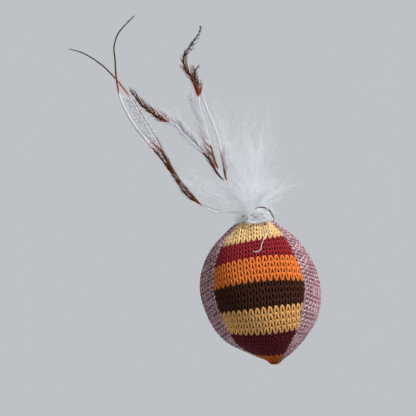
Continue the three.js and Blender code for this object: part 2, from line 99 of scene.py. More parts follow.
# Each seam's bearing from the front: in the upper half, in the lower half and at the tip.
SEAM_DEGREES = {
    "front_left": (-51, -50, -70),
    "front_right": (47, 40, 28),
    "back_right": (133, 133, 133),
    "back_left": (231, 231, 218),
}
SEAMS = list(SEAM_DEGREES)

# Sizes of the rattle
CAPSULE_DEPTH = 26.922
CAPSULE_RADIUS = 11.0
CAPSULE_WALL = 0.8
CAPSULE_LIP_WALL = 0.5
CAPSULE_LIP_HEIGHT = 1.2
PELLET_RADIUS = 1.8

# Where the feathers and the down start: their level, and the pitch of their layers from front to back
ROOT_LEVEL = NECK_TOP + CLEARANCE
ROOT_PITCH = 0.75
PLUME_ROOT_RISE = 1.5

# The curl of down in front of the neck, and the brown barb that arches over it
CLUMP_SIZE = (9.2, 4.4, 5.2)
CLUMP_MIDDLE = (2.1, -7.8, 1.6)
BARB_ROUTE = [(0.4, 3.4), (2, 4.1), (3.9, 3.9), (5.7, 3), (6.6, 1.7), (7.1, 0.5), (7.5, -0.5), (7.3, -1.6)]
BARB_AHEAD = 0.4

# Tufts of down that rise round the sides and the back of the neck: bearings from the front, how far out each
# one starts and ends, and how far it rises
TUFT_BEARINGS = [62, 84, 108, 132, 156, 180, 204, 228, 252, 276, 298]
TUFT_OUT = (2.6, 7.4)
TUFT_RISE = 8.5
CORE_BEARINGS = [75, 125, 180, 235, 285]
CORE_OUT = (1.2, 2.8)
CORE_RISE = 7.0

# Down that winds round the neck, and down that lies over its rim, except in front of the quills
RUFF_RADIUS = 5.6
RUFF_TURNS = 3
RIM_RADIUS = 3.9
RIM_BEARINGS = (35, 325)

# Where a strand of down hangs over the knit, and how far off it
STRAND = [
    (5.4, -0.5), (4.6, -2.4), (4.1, -3.9), (3.7, -6), (1.8, -9.5), (1.1, -11.3), (-0.6, -12), (-1.5, -11.7),
]
STRAND_LIFT = 0.5
STRAND_LEAST_DEPTH = 6.0


# Numbers and paths

def srgb(code):
    """A colour written as on a paint chart, as the linear values that a shader takes."""
    parts = [int(code[i : i + 2], 16) / 255 for i in (1, 3, 5)]
    return [c / 12.92 if c <= 0.04045 else ((c + 0.055) / 1.055) ** 2.4 for c in parts]


def lerp(low, high, share):
    return low + (high - low) * share


def smoothstep(value, low, high):
    share = np.clip((value - low) / (high - low), 0, 1)
    return share * share * (3 - 2 * share)


def unit(vectors):
    return vectors / np.maximum(np.linalg.norm(vectors, axis=-1, keepdims=True), 1e-12)


def smooth_path(points, centripetal=True, steps=24):
    """Close points along the Catmull-Rom curve through a few points."""
    points = np.array(points, float)
    ends = (points[0], points[-1])
    if centripetal:
        ends = (2 * points[0] - points[1], 2 * points[-1] - points[-2])
    chain = np.vstack([ends[0], points, ends[1]])
    share = np.linspace(0, 1, steps, endpoint=False)[:, None]
    stretches = []
    for a, b, c, d in zip(chain, chain[1:], chain[2:], chain[3:]):
        gaps = [np.linalg.norm(q - p) ** 0.5 if centripetal else 1 for p, q in ((a, b), (b, c), (c, d))]
        before, here, after = gaps
        start = ((b - a) / before - (c - a) / (before + here) + (c - b) / here) * here
        end = ((c - b) / here - (d - b) / (here + after) + (d - c) / after) * here
        square = 3 * (c - b) - 2 * start - end
        cube = 2 * (b - c) + start + end
        stretches.append(b + start * share + square * share**2 + cube * share**3)
    return np.vstack([*stretches, points[-1:]])


def lengths_along(path):
    return np.concatenate([[0], np.cumsum(np.linalg.norm(np.diff(path, axis=0), axis=1))])


def places_along(path, shares):
    """The points at shares of a path's length."""
    length = lengths_along(path)
    return np.stack([np.interp(np.asarray(shares) * length[-1], length, axis) for axis in path.T], axis=-1)


def table_along(table, shares):
    """The values at shares along a table of pairs, eased between them."""
    at, values = np.array(table, float).T
    after = np.clip(np.searchsorted(at, shares), 1, len(at) - 1)
    ease = smoothstep(shares, at[after - 1], at[after])
    return lerp(values[after - 1], values[after], ease)


# The ball's surface

OUTLINE = smooth_path(
    [
        (NECK_RADIUS, NECK_TOP),
        (NECK_RADIUS, (NECK_TOP - NECK_FOOT) / 2),
        (NECK_RADIUS, -NECK_FOOT),
        *[(out * BALL_RADIUS, -SHOULDER_DROP - down * BALL_HEIGHT) for down, out in OUTLINE_SHARES],
        (TIP_RADIUS, TIP_LEVEL),
    ],
    centripetal=False,
)
OUTLINE_LENGTH = lengths_along(OUTLINE)


class Levels:
    """Levels of the ball, from shares of its outline's length."""

    def __init__(self, shares):
        places = places_along(OUTLINE, shares)
        self.radius, self.z = places[..., 0], places[..., 1]
        self.height_share = (-SHOULDER_DROP - self.z) / BALL_HEIGHT
        down = np.maximum(0, self.height_share)
        lean = TIP_SHIFT * smoothstep(down, *TIP_LEAN_SHARES)
        self.lean = lean - BELLY_SWAY * np.sin(2 * math.pi * down)
        self.down = down

    def around(self, bearing, radius, across=0.0):
        """Points at a bearing in degrees from the front and a radius, moved sideways across that bearing."""
        sin, cos = np.sin(np.radians(bearing)), np.cos(np.radians(bearing))
        x = self.lean + radius * sin + across * cos
        y = across * sin - radius * cos
        return np.stack([x, y, np.broadcast_to(self.z, x.shape)], axis=-1)


def seam_bearing(seam, down):
    upper, lower, tip = SEAM_DEGREES[SEAMS[seam % len(SEAMS)]]
    low = lerp(upper, lower, smoothstep(down, *LOW_TURN_SHARES))
    turn = 360 * (seam // len(SEAMS))
    return lerp(low, tip, smoothstep(down, *TIP_TURN_SHARES)) + turn


def fullness(share):
    """A stuffed gore is fullest half way between its seams."""
    return 1 - SEAM_DIP_SHARE * np.abs(2 * share - 1) ** 3


def length_at_height(height_share):
    """The length along the outline at which the ball reaches a share of its height."""
    level = -SHOULDER_DROP - np.asarray(height_share) * BALL_HEIGHT
    return np.interp(-level, -OUTLINE[:, 1], OUTLINE_LENGTH)


# Meshes

def new_object(name, mesh):
    made = bpy.data.objects.new(name, mesh)
    bpy.context.scene.collection.objects.link(made)
    return made


def mesh_object(name, points, faces, edges=(), smooth=True):
    """An object from points in millimetres."""
    mesh = bpy.data.meshes.new(name)
    mesh.from_pydata((np.asarray(points, float) * MM).tolist(), list(edges), list(faces))
    mesh.polygons.foreach_set("use_smooth", [smooth] * len(mesh.polygons))
    mesh.update()
    return new_object(name, mesh)


def grid_faces(rows, columns, offset=0, flip=False, closed=False):
    faces = []
    for row in range(rows - 1):
        for column in range(columns if closed else columns - 1):
            after = (column + 1) % columns
            a, b = offset + row * columns + column, offset + row * columns + after
            face = (a, a + columns, b + columns, b)
            faces.append(face[::-1] if flip else face)
    return faces


def face_out(made):
    """Merges doubles and turns the faces of closed shells outwards."""
    work = bmesh.new()
    work.from_mesh(made.data)
    bmesh.ops.remove_doubles(work, verts=work.verts, dist=1e-7)
    bmesh.ops.recalc_face_normals(work, faces=work.faces)
    work.to_mesh(made.data)
    work.free()
    return made


def path_object(name, paths, attributes=None):
    """Lines through points in millimetres, with named values at each point, for a recipe to work on."""
    points, edges = [], []
    for path in paths:
        edges += [(len(points) + i, len(points) + i + 1) for i in range(len(path) - 1)]
        points += list(path)
    made = mesh_object(name, points, [], edges)
    for key, values in (attributes or {}).items():
        store(made, key, np.asarray(values, float))
    return made


def store(made, key, values):
    kind = "FLOAT_VECTOR" if values.ndim == 2 else "FLOAT"
    layer = made.data.attributes.new(key, kind, "POINT")
    layer.data.foreach_set("vector" if values.ndim == 2 else "value", values.ravel().astype(np.float32))


def store_uv(made, name, values):
    layer = made.data.uv_layers.new(name=name)
    corners = np.zeros(len(made.data.loops), int)
    made.data.loops.foreach_get("vertex_index", corners)
    layer.data.foreach_set("uv", values[corners].ravel().astype(np.float32))


def evaluated_mesh(made):
    bpy.context.view_layer.update()
    graph = bpy.context.evaluated_depsgraph_get()
    return bpy.data.meshes.new_from_object(
        made.evaluated_get(graph), preserve_all_data_layers=True, depsgraph=graph
    )


def grown(name, source, recipe, settings, material):
    """The plain mesh that a recipe makes on a source, which is then removed."""
    modifier = source.modifiers.new(recipe, "NODES")
    modifier.node_group = bpy.data.node_groups[recipe]
    values = dict(settings, Material=material)
    for item in modifier.node_group.interface.items_tree:
        if item.item_type == "SOCKET" and item.in_out == "INPUT" and item.name in values:
            modifier[item.identifier] = values.pop(item.name)
    if values:
        raise ValueError(f"{recipe} has no inputs named {sorted(values)}")
    mesh = evaluated_mesh(source)
    if not mesh.polygons:
        raise ValueError(f"{recipe} made nothing for {name}")
    bpy.data.objects.remove(source)
    mesh.name = name
    return new_object(name, mesh)


def dress(piece, material, body, nodes=()):
    """Finishes a piece: its material, the body it rides on and the nodes it stands for."""
    if material is not None:
        piece.data.materials.clear()
        piece.data.materials.append(material)
    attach(piece, body)
    if nodes:
        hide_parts(*nodes)


# Nodes, written as sums

class Value:
    """A node's output, which sums and products turn into further nodes."""

    def __init__(self, tree, socket):
        self.tree = tree
        self.socket = socket

    def is_vector(self):
        return self.socket.type in ("VECTOR", "RGBA")

    def beside(self, output):
        """Another output of the same node."""
        return Value(self.tree, self.socket.node.outputs[output])

    def work(self, operation, *others):
        vectors = [v for v in (self, *others) if isinstance(v, Value) and v.is_vector()]
        kind = "ShaderNodeVectorMath" if vectors else "ShaderNodeMath"
        return self.tree.node(kind, {"operation": operation}, [self, *others])

    def __add__(self, other):
        return self.work("ADD", other)

    def __sub__(self, other):
        return self.work("SUBTRACT", other)

    def __rsub__(self, other):
        return self.tree.node("ShaderNodeMath", {"operation": "SUBTRACT"}, [other, self])

    def __mul__(self, other):
        vector = isinstance(other, Value) and other.is_vector()
        if vector and not self.is_vector():
            return other * self
        if self.is_vector() and not vector:
            inputs = {"Vector": self, "Scale": other}
            return self.tree.node("ShaderNodeVectorMath", {"operation": "SCALE"}, inputs)
        return self.work("MULTIPLY", other)

    __radd__, __rmul__ = __add__, __mul__

    def __truediv__(self, other):
        return self.work("DIVIDE", other)

    def __pow__(self, other):
        return self.work("POWER", other)

    def __gt__(self, other):
        return self.work("GREATER_THAN", other)

    def sin(self):
        return self.work("SINE")

    def cos(self):
        return self.work("COSINE")

    def fract(self):
        return self.work("FRACT")

    def parts(self):
        split = self.tree.node("ShaderNodeSeparateXYZ", {}, [self])
        return split, split.beside("Y"), split.beside("Z")

    def normalised(self):
        return self.work("NORMALIZE")

    def cross(self, other):
        return self.work("CROSS_PRODUCT", other)

    def ease(self, low, high, to_low=0.0, to_high=1.0):
        """Eases from one value to another as this one passes from low to high."""
        places = {"Value": self, "From Min": low, "From Max": high, "To Min": to_low, "To Max": to_high}
        return self.tree.node("ShaderNodeMapRange", {"interpolation_type": "SMOOTHSTEP"}, places)

    def between(self, low, high):
        """A mix of two numbers, or of two vectors or colours, with this value as the share."""

        def is_number(end):
            return isinstance(end, (int, float)) or (isinstance(end, Value) and not end.is_vector())

        kind = "FLOAT" if is_number(low) and is_number(high) else "RGBA"
        low, high = (end if is_number(end) or isinstance(end, Value) else (*end, 1.0) for end in (low, high))
        return self.tree.node("ShaderNodeMix", {"data_type": kind}, {"Factor": self, "A": low, "B": high})


class Tree:
    """A tree of nodes, in a material or a recipe for geometry."""

    def __init__(self, nodes):
        self.nodes = nodes

    def node(self, kind, settings=None, inputs=None, output=None):
        """Adds a node: its settings first, then the values or links of its sockets."""
        made = self.nodes.nodes.new(kind)
        for key, value in (settings or {}).items():
            if key == "stops":
                self.set_stops(made.color_ramp, value)
            else:
                setattr(made, key, value)
        free = [socket for socket in made.inputs if socket.enabled]
        pairs = zip(free, inputs) if isinstance(inputs, list) else self.named(free, inputs or {})
        for socket, value in pairs:
            if isinstance(value, Value):
                self.nodes.links.new(value.socket, socket)
            else:
                socket.default_value = value
        outputs = [socket for socket in made.outputs if socket.enabled and output in (None, socket.name)]
        return Value(self, outputs[0]) if outputs else None

    @staticmethod
    def named(free, inputs):
        pairs = []
        for key, value in inputs.items():
            socket = next((s for s in free if s.name == key), None)
            if socket is None:
                raise KeyError(f"no input named {key} among {[s.name for s in free]}")
            pairs.append((socket, value))
        return pairs

    @staticmethod
    def set_stops(ramp, stops):
        while len(ramp.elements) > 1:
            ramp.elements.remove(ramp.elements[-1])
        ramp.elements[0].position = stops[0][0]
        ramp.elements[0].color = (*stops[0][1], 1)
        for place, colour in stops[1:]:
            ramp.elements.new(place).color = (*colour, 1)

    def vector(self, x, y, z):
        return self.node("ShaderNodeCombineXYZ", {}, [x, y, z])

    def noise(self, place, scale, detail=2.0, roughness=0.5, output="Fac"):
        inputs = {"Vector": place, "Scale": scale, "Detail": detail, "Roughness": roughness}
        return self.node("ShaderNodeTexNoise", {}, inputs, output)


# Materials

class Finish(Tree):
    """A material's tree, with the shader that every piece ends in."""

    def __init__(self, name):
        self.material = bpy.data.materials.new(name)
        self.material.use_nodes = True
        self.material.node_tree.nodes.clear()
        super().__init__(self.material.node_tree)

    def attribute(self, name, output="Fac"):
        return self.node("ShaderNodeAttribute", {"attribute_name": name}, {}, output)

    def place(self):
        return self.node("ShaderNodeTexCoord", {}, {}, "Object")

    def ramp(self, factor, stops, interpolation="LINEAR"):
        made = self.node("ShaderNodeValToRGB", {"stops": stops}, [factor])
        made.socket.node.color_ramp.interpolation = interpolation
        return made

    def shaded(self, colour, factor):
        """A colour made lighter or darker by a factor."""
        grey = self.vector(factor, factor, factor)
        return self.node(
            "ShaderNodeMix",
            {"data_type": "RGBA", "blend_type": "MULTIPLY"},
            {"Factor": 1.0, "A": colour if isinstance(colour, Value) else (*colour, 1), "B": grey},
        )

    def bump(self, height, strength, depth):
        """A bump whose depth is in millimetres."""
        inputs = {"Height": height, "Strength": strength, "Distance": depth * MM}
        return self.node("ShaderNodeBump", {}, inputs)

    def ply(self, pitch):
        """Two plies twisted together: 1 on a crest and 0 in the groove between."""
        turns = self.attribute("along") / pitch + self.attribute("round") * 2.0
        return (turns * (2 * math.pi)).sin() * 0.5 + 0.5

    def surface(self, **inputs):
        """Ends the tree in one shader."""
        named = {key.replace("_", " "): value for key, value in inputs.items()}
        shader = self.node("ShaderNodeBsdfPrincipled", {}, named)
        self.node("ShaderNodeOutputMaterial", {}, {"Surface": shader})
        return self.material


# The noise of the fibres, and how many of its cells lie from course to course. A whole number keeps the
# courses alike.
FIBRE_SCALE = 1.6
FIBRE_CELLS = 37
# How far along the yarn the two marled strands take for one turn
MARL_TWIST = 2.4


def knit_finish(name, colour_of, ply_pitch, painted_ply_shade):
    """Matt yarn, whose colour a function takes from the tree, with its ply and fibres, and painted light and
    shade: dark grooves between its plies, and stitches lighter at their heads and darker at their feet.
    """
    tree = Finish(name)
    place = tree.place()
    ply = tree.ply(ply_pitch)
    course = tree.attribute("course") * (FIBRE_CELLS / FIBRE_SCALE) + 0.23
    strands = tree.vector(tree.attribute("along") * 0.5, tree.attribute("round") * 9.0, course)
    fibre = tree.noise(strands, FIBRE_SCALE, 3.0, 0.7)
    patch = tree.noise(place, 420.0, 2.0)
    stitch = tree.noise(place, 1100.0, 1.0)
    # The ply term is painted shade: the grooves between the plies are painted darker and their crests
    # lighter. The fibre, patch and stitch noises are the yarn's own uneven tone.
    light = 0.66 + ply * painted_ply_shade + fibre * 0.3 + patch * 0.16 + stitch * 0.14
    # Painted shade: each stitch is painted a little lighter at its head and darker at its foot, where it
    # passes under the next course.
    shade = tree.attribute("foot").ease(0.0, 1.0, 1.06, 0.82)
    return tree.surface(
        Base_Color=tree.shaded(colour_of(tree, fibre), light * shade),
        Roughness=fibre.between(0.82, 0.98),
        Normal=tree.bump(ply * 0.5 + fibre * 0.5, 0.9, 0.12),
        Specular_IOR_Level=0.12,
        Sheen_Weight=0.02,
        Sheen_Roughness=0.6,
    )


def stripe_colours(course_count, boundaries, colours):
    """A function that picks each course's colour from the stripes, which change between whole courses."""
    stops = [(0.0, colours[0])]
    for boundary, colour in zip(boundaries, colours[1:]):
        stops.append(((boundary - 0.5) / course_count, colour))

    def pick(tree, fibre):
        return tree.ramp(tree.attribute("course") / course_count, stops, "CONSTANT")

    return pick


def marl_colours(pale, plum):
    """A function that twists two strands of different colours together."""

    def pick(tree, fibre):
        drift = tree.noise(tree.place(), 437.0, 2.0) - 0.5
        twist = ((tree.attribute("along") / MARL_TWIST + tree.attribute("round")) * (2 * math.pi)).sin()
        leg = tree.attribute("wale") * 2.0 + twist * 0.1 + drift * 0.6 + 0.12
        turn = (leg * (2 * math.pi)).cos()
        return (turn + fibre * 0.6).ease(-0.5, 0.3).between(plum, pale)

    return pick


def gap_shade_finish(name, colour_of):
    """A dark sheet under the yarn, seen between its stitches: painted shade, a deep shade of the yarn's own
    colour that stands for the shadow in the gaps.
    """
    tree = Finish(name)
    weave = tree.noise(tree.place(), 900.0, 3.0, 0.7)
    # Painted shade: the sheet takes only 14 to 34 percent of the yarn's colour.
    return tree.surface(
        Base_Color=tree.shaded(colour_of(tree, weave), weave.ease(0.2, 0.8, 0.14, 0.34)),
        Roughness=0.95,
        Normal=tree.bump(weave, 0.6, 0.2),
        Specular_IOR_Level=0.1,
    )


def thread_finish(name, colour, pitch=0.9):
    """Twisted thread, painted lighter on its crests and darker in the grooves between its plies."""
    tree = Finish(name)
    ply = tree.ply(pitch)
    fibre_place = tree.vector(tree.attribute("along") * 0.6, tree.attribute("round") * 7.0, 0.0)
    fibre = tree.noise(fibre_place, 2.0, 2.0)
    tone = tree.noise(tree.place(), 300.0, 2.0)
    # The ply term is painted light and shade: pale crests and dark grooves between the plies. The fibre and
    # tone noises are the thread's own uneven tone.
    return tree.surface(
        Base_Color=tree.shaded(tuple(colour), 0.66 + ply * 0.2 + fibre * 0.12 + tone * 0.1),
        Roughness=fibre.between(0.55, 0.8),
        Normal=tree.bump(ply * 0.6 + fibre * 0.4, 0.8, 0.08),
        Sheen_Weight=0.15,
    )


# The tones at which a feather's colours stand, from its quill's tip to its white bands
FEATHER_TONES = (0.0, 0.18, 0.4, 0.6, 0.85)


def feather_finish(name, feather):
    """Barbs and quill whose tone runs from dark brown by rust and pink to white."""
    tree = Finish(name)
    place = tree.place()
    patch = tree.noise(place, 350.0, 3.0)
    fine = tree.noise(place, 2600.0, 2.0)
    parts = ("quill_tip", "dark", "rust", "pink", "white")
    stops = [(tone, tuple(getattr(feather, part + "_colour"))) for tone, part in zip(FEATHER_TONES, parts)]
    base = tree.ramp(tree.attribute("tone") + (patch - 0.5) * 0.12, stops)
    return tree.surface(
        Base_Color=tree.shaded(base, 0.7 + patch * 0.3 + fine * 0.3),
        Roughness=patch.between(0.45, 0.75),
        Normal=tree.bump(fine, 0.4, 0.05),
        Specular_IOR_Level=0.15,
    )


# Finishes of one colour. Two noises have a scale, a detail and a roughness each. Light is a level, and what
# each noise adds to it. Rough is the noise that it follows, and its two ends. Bump is how much it takes of
# each noise, its strength and its depth in millimetres. Shader holds what is alike all over.
PLAIN_FINISHES = {
    # Loose white down, a little uneven, and glowing faintly in its own colour: painted light that stands for
    # light passing through it.
    "white down": dict(
        noises=((160.0, 3.0, 0.5), (1800.0, 2.0, 0.5)),
        light=(0.82, 0.16, 0.14),
        rough=(1, 0.6, 0.85),
        bump=(0, 1, 0.3, 0.03),
        shader={"Specular_IOR_Level": 0.2, "Emission_Strength": 0.12},
    ),
    # Set hot-melt glue: milky, glossy and a little wavy
    "set glue": dict(
        noises=((240.0, 3.0, 0.5), (500.0, 1.0, 0.5)),
        light=(0.86, 0.2, 0),
        rough=(1, 0.22, 0.42),
        bump=(0, 1, 0.4, 0.25),
        shader={"Coat_Weight": 0.2},
    ),
    # Carded polyester fibre, whose fibres lie every way
    "filling": dict(
        noises=((140.0, 3.0, 0.5), (900.0, 4.0, 0.75)),
        light=(0.72, 0.16, 0.26),
        rough=(1, 0.8, 1.0),
        bump=(1, 0.7, 0.9, 0.4),
        shader={"Sheen_Weight": 0.3},
    ),
    # Moulded plastic, with faint rubs and fine orange peel
    "capsule": dict(
        noises=((260.0, 4.0, 0.7), (1400.0, 2.0, 0.5)),
        light=(0.9, 0.12, 0),
        rough=(0, 0.24, 0.46),
        bump=(0, 1, 0.15, 0.05),
        shader={},
    ),
    # Tumbled steel shot, with stains and small scuffs
    "steel shot": dict(
        noises=((500.0, 2.0, 0.5), (2200.0, 4.0, 0.8)),
        light=(0.8, 0.3, 0),
        rough=(1, 0.22, 0.5),
        bump=(0, 1, 0.25, 0.03),
        shader={"Metallic": 1.0},
    ),
}


def plain_finish(name, colour, painted_glow=False):
    """A finish from the table above, which may also shine faintly in its own colour: painted light, as the
    piece is no lamp.
    """
    sizes = PLAIN_FINISHES[name]
    tree = Finish(name)
    place = tree.place()
    noises = [tree.noise(place, *noise) for noise in sizes["noises"]]

    def blend(shares, start=0.0):
        return sum((noise * share for noise, share in zip(noises, shares) if share), start)

    level, *added = sizes["light"]
    follows, *ends = sizes["rough"]
    *height, strength, depth = sizes["bump"]
    shader = dict(sizes["shader"])
    # Painted light: the piece glows faintly in its own colour at the table's emission strength.
    if painted_glow:
        shader["Emission_Color"] = (*colour, 1)
    return tree.surface(
        Base_Color=tree.shaded(tuple(colour), blend(added, level)),
        Roughness=noises[follows].between(*ends),
        Normal=tree.bump(blend(height), strength, depth),
        **shader,
    )


# Recipes for geometry

class Recipe(Tree):
    """A tree of geometry nodes with named inputs, which ends in plain mesh with one material."""

    KINDS = {float: "NodeSocketFloat", int: "NodeSocketInt"}

    def __init__(self, name, **inputs):
        super().__init__(bpy.data.node_groups.new(name, "GeometryNodeTree"))
        face = self.nodes.interface
        for way in ("OUTPUT", "INPUT"):
            face.new_socket(name="Geometry", in_out=way, socket_type="NodeSocketGeometry")
        for key, default in inputs.items():
            kind = self.KINDS[type(default)]
            made = face.new_socket(name=key.replace("_", " "), in_out="INPUT", socket_type=kind)
            made.default_value = default
        face.new_socket(name="Material", in_out="INPUT", socket_type="NodeSocketMaterial")
        self.entry = self.nodes.nodes.new("NodeGroupInput")

    def given(self, name):
        return Value(self, self.entry.outputs[name])

    def stored(self, name, kind="FLOAT"):
        return self.node("GeometryNodeInputNamedAttribute", {"data_type": kind}, {"Name": name})

    def store(self, geometry, **values):
        """Keeps named numbers at each point."""
        settings = {"data_type": "FLOAT", "domain": "POINT"}
        for name, value in values.items():
            inputs = {"Geometry": geometry, "Name": name, "Value": value}
            geometry = self.node("GeometryNodeStoreNamedAttribute", settings, inputs)
        return geometry

    def place(self):
        return self.node("GeometryNodeInputPosition")

    def random(self, low, high, identity, seed):
        inputs = {"Min": low, "Max": high, "ID": identity, "Seed": seed}
        kind = "FLOAT" if isinstance(low, float) else "FLOAT_VECTOR"
        return self.node("FunctionNodeRandomValue", {"data_type": kind}, inputs)

    def lines(self):
        """The given edges as curves."""
        return self.node("GeometryNodeMeshToCurve", {}, {"Mesh": self.given("Geometry")})

    def copies(self, points, amount):
        """Straight lines of a few points, one for each copy, and the number that each copy has."""
        line = self.node("GeometryNodeCurvePrimitiveLine")
        line = self.node("GeometryNodeResampleCurve", {}, {"Curve": line, "Count": points})
        inputs = {"Geometry": line, "Amount": amount}
        copied = self.node("GeometryNodeDuplicateElements", {"domain": "SPLINE"}, inputs)
        numbered = self.store(copied, number=copied.beside("Duplicate Index"))
        return self.store(numbered, share=self.node("GeometryNodeSplineParameter"))

    def moved(self, geometry, place):
        return self.node("GeometryNodeSetPosition", {}, {"Geometry": geometry, "Position": place})

    def without(self, geometry, lost):
        """The geometry less the points at which a value isn't zero."""
        inputs = {"Geometry": geometry, "Selection": lost}
        return self.node("GeometryNodeDeleteGeometry", {"domain": "POINT"}, inputs)

    def tube(self, curve, thickness, sides):
        """A closed tube along each line, with how far round and how far along each point lies."""
        length = self.node("GeometryNodeSplineParameter", {}, {}, "Length")
        curve = self.store(curve, along=length / MM)
        ring = self.node("GeometryNodeCurvePrimitiveCircle", {}, {"Resolution": sides, "Radius": 0.5})
        ring = self.store(ring, round=self.node("GeometryNodeSplineParameter"))
        inputs = {"Curve": curve, "Profile Curve": ring, "Scale": thickness, "Fill Caps": True}
        return self.node("GeometryNodeCurveToMesh", {}, inputs)

    def finish(self, *parts):
        """Ends the tree in its parts, joined and made plain."""
        joined = self.node("GeometryNodeJoinGeometry")
        for part in parts:
            self.nodes.links.new(part.socket, joined.socket.node.inputs[0])
        smooth = self.node("GeometryNodeSetShadeSmooth", {}, {"Geometry": joined})
        real = self.node("GeometryNodeRealizeInstances", {}, {"Geometry": smooth})
        inputs = {"Geometry": real, "Material": self.given("Material")}
        self.node("NodeGroupOutput", {}, {"Geometry": self.node("GeometryNodeSetMaterial", {}, inputs)})


# Fabric places are kept in a UV map, whose unit is this many stitches.
FABRIC_SPAN = 100.0


def knit_recipe():
    """Courses of yarn laid over a skin, each a wave of nested heads and feet, one wave for each wale."""
    tree = Recipe(
        "knitted courses",
        First_Wale=-9.0,
        Wales=18,
        First_Course=0,
        Courses=30,
        Steps=14,
        Head_Height=0.57,
        Head_Width=0.01,
        Head_Round=0.034,
        Yarn=0.00066,
        Sides=6,
        Lift=0.0004,
        Ridge=0.0001,
        Wander=0.12,
        Seed=3,
    )
    wales, ridge, wander = (tree.given(name) for name in ("Wales", "Ridge", "Wander"))
    rows = tree.copies(wales * tree.given("Steps") + 1, tree.given("Courses"))
    course = tree.stored("number") + tree.given("First Course")
    share = tree.stored("share")
    turn = share * wales * (2 * math.pi)
    bulge = turn.sin() * tree.given("Head Width") + (turn * 2.0).sin() * tree.given("Head Round")
    wale = share * wales + tree.given("First Wale") + bulge
    row = course + 0.5 - turn.cos() * tree.given("Head Height")
    seed_place = tree.vector(wale, row, tree.given("Seed") * 7.0)
    jitter = tree.noise(seed_place, 0.8, 2.0, output="Color").parts()
    across = wale + (jitter[0] - 0.5) * wander
    down = row + (jitter[1] - 0.5) * wander * 2.0
    spot = tree.vector(across / FABRIC_SPAN + 0.5, down / FABRIC_SPAN, 0.0)

    def sampled(value, kind="FLOAT_VECTOR"):
        fabric = tree.stored("fabric", "FLOAT_VECTOR")
        inputs = {"Mesh": tree.given("Geometry"), "Value": value, "UV Map": fabric, "Sample UV": spot}
        return tree.node("GeometryNodeSampleUVSurface", {"data_type": kind}, inputs, "Value")

    surface = sampled(tree.place())
    outward = sampled(tree.stored("outward", "FLOAT_VECTOR"))
    size = sampled(tree.stored("yarn_size"), "FLOAT")
    lift = (tree.given("Lift") + (0.0 - (turn * 2.0).cos()) * ridge) * size
    lift = lift + (jitter[2] - 0.5) * ridge * 2.0
    # foot runs from 0 at a stitch's head to 1 at its foot; the yarn's finish uses it for painted shade at the
    # feet.
    foot, valid = (1.0 - turn.cos()) * 0.5, surface.beside("Is Valid")
    curves = tree.store(rows, course=course, wale=wale, foot=foot, size=size, valid=valid)
    curves = tree.moved(curves, surface + outward * lift)
    curves = tree.without(curves, 0.5 - tree.stored("valid") > 0.0)
    tree.finish(tree.tube(curves, tree.given("Yarn") * tree.stored("size"), tree.given("Sides")))


# Hairs shorter than this, in metres, aren't grown.
LEAST_HAIR = 0.0002


def grow(tree, paths, prefix, seed, vane):
    """Adds barbs that grow from paths. The inputs whose names start with the prefix give their sizes.

    The paths carry reach, a length in metres, sweep, how far the barb runs forwards, and tone.
    A vane's barbs leave from the two sides of the path by the vector facing, so it has a reach and a sweep
    for the left too, and how stout and how dense its barbs are. Others leave every way.
    """

    def given(name):
        return tree.given(f"{prefix} {name}")

    curves = tree.copies(given("Steps"), given("Count"))
    number, share = tree.stored("number"), tree.stored("share")
    start = (number + tree.random(0.0, 1.0, number, seed)) / given("Count")

    def at_foot(name, kind="FLOAT"):
        inputs = {"Curves": paths, "Value": tree.stored(name, kind), "Factor": start}
        settings = {"data_type": kind, "use_all_curves": True}
        return tree.node("GeometryNodeSampleCurve", settings, inputs, "Value")

    reach, sweep, width, kept = at_foot("reach"), at_foot("sweep"), given("Thickness"), 1.0
    place, tangent = reach.beside("Position"), reach.beside("Tangent")
    loose = tree.random((-1.0,) * 3, (1.0,) * 3, number, seed + 1)
    if vane:
        side = (number * 0.5).fract() > 0.25
        facing = at_foot("facing", "FLOAT_VECTOR") * (side * 2.0 - 1.0) + loose * given("Scatter")
        reach = side.between(at_foot("left_reach"), reach)
        sweep = side.between(at_foot("left_sweep"), sweep)
        width = width * at_foot("stout")
        kept = at_foot("density") > tree.random(0.0, 1.0, number, seed + 5)
    else:
        facing = tangent.cross(loose.normalised())
    size = reach * tree.random(0.0, 1.0, number, seed + 2).ease(0.0, 1.0, given("Shortest"), 1.1)
    sweep = sweep + tree.random(-0.12, 0.12, number, seed + 3)
    bend = given("Bend")
    out = share - share * share * bend * 0.5
    ahead = share * sweep + share * share * bend * 0.6
    drawn = facing.normalised() * (out * (1.0 - sweep * 0.5)) + tangent * ahead
    wave_place = tree.vector(share * given("Waves"), number * 3.7, seed * 1.0)
    wave = tree.noise(wave_place, 1.0, 1.0, output="Color") - tree.vector(0.5, 0.5, 0.5)
    bent = drawn + wave * (share * given("Curl"))
    curves = tree.store(
        curves,
        tone=at_foot("tone") + tree.random(-0.1, 0.1, number, seed + 4),
        width=(1.0 - share * 0.75) * width,
        next_reach=size * given("Next Reach") * (1.0 - share * 0.7),
    )
    return tree.without(tree.moved(curves, place + bent * size), 1.0 - (size > LEAST_HAIR) * kept)


def barb_inputs(prefix):
    sizes = {
        "Count": 600,
        "Steps": 6,
        "Bend": 0.6,
        "Waves": 1.5,
        "Curl": 0.2,
        "Scatter": 0.15,
        "Thickness": 0.0002,
        "Next_Reach": 0.3,
        "Shortest": 0.6,
    }
    return {f"{prefix}_{key}": size for key, size in sizes.items()}


def feather_recipe():
    """A quill with barbs on its two sides."""
    tree = Recipe("feather barbs", Quill=0.0009, **barb_inputs("Barb"))
    paths = tree.lines()
    toned = tree.store(paths, tone=tree.stored("quill_tone"))
    quill = tree.tube(toned, tree.given("Quill") * tree.stored("quill_size"), 7)
    barbs = grow(tree, paths, "Barb", 11, vane=True)
    tree.finish(quill, tree.tube(barbs, tree.stored("width"), 3))


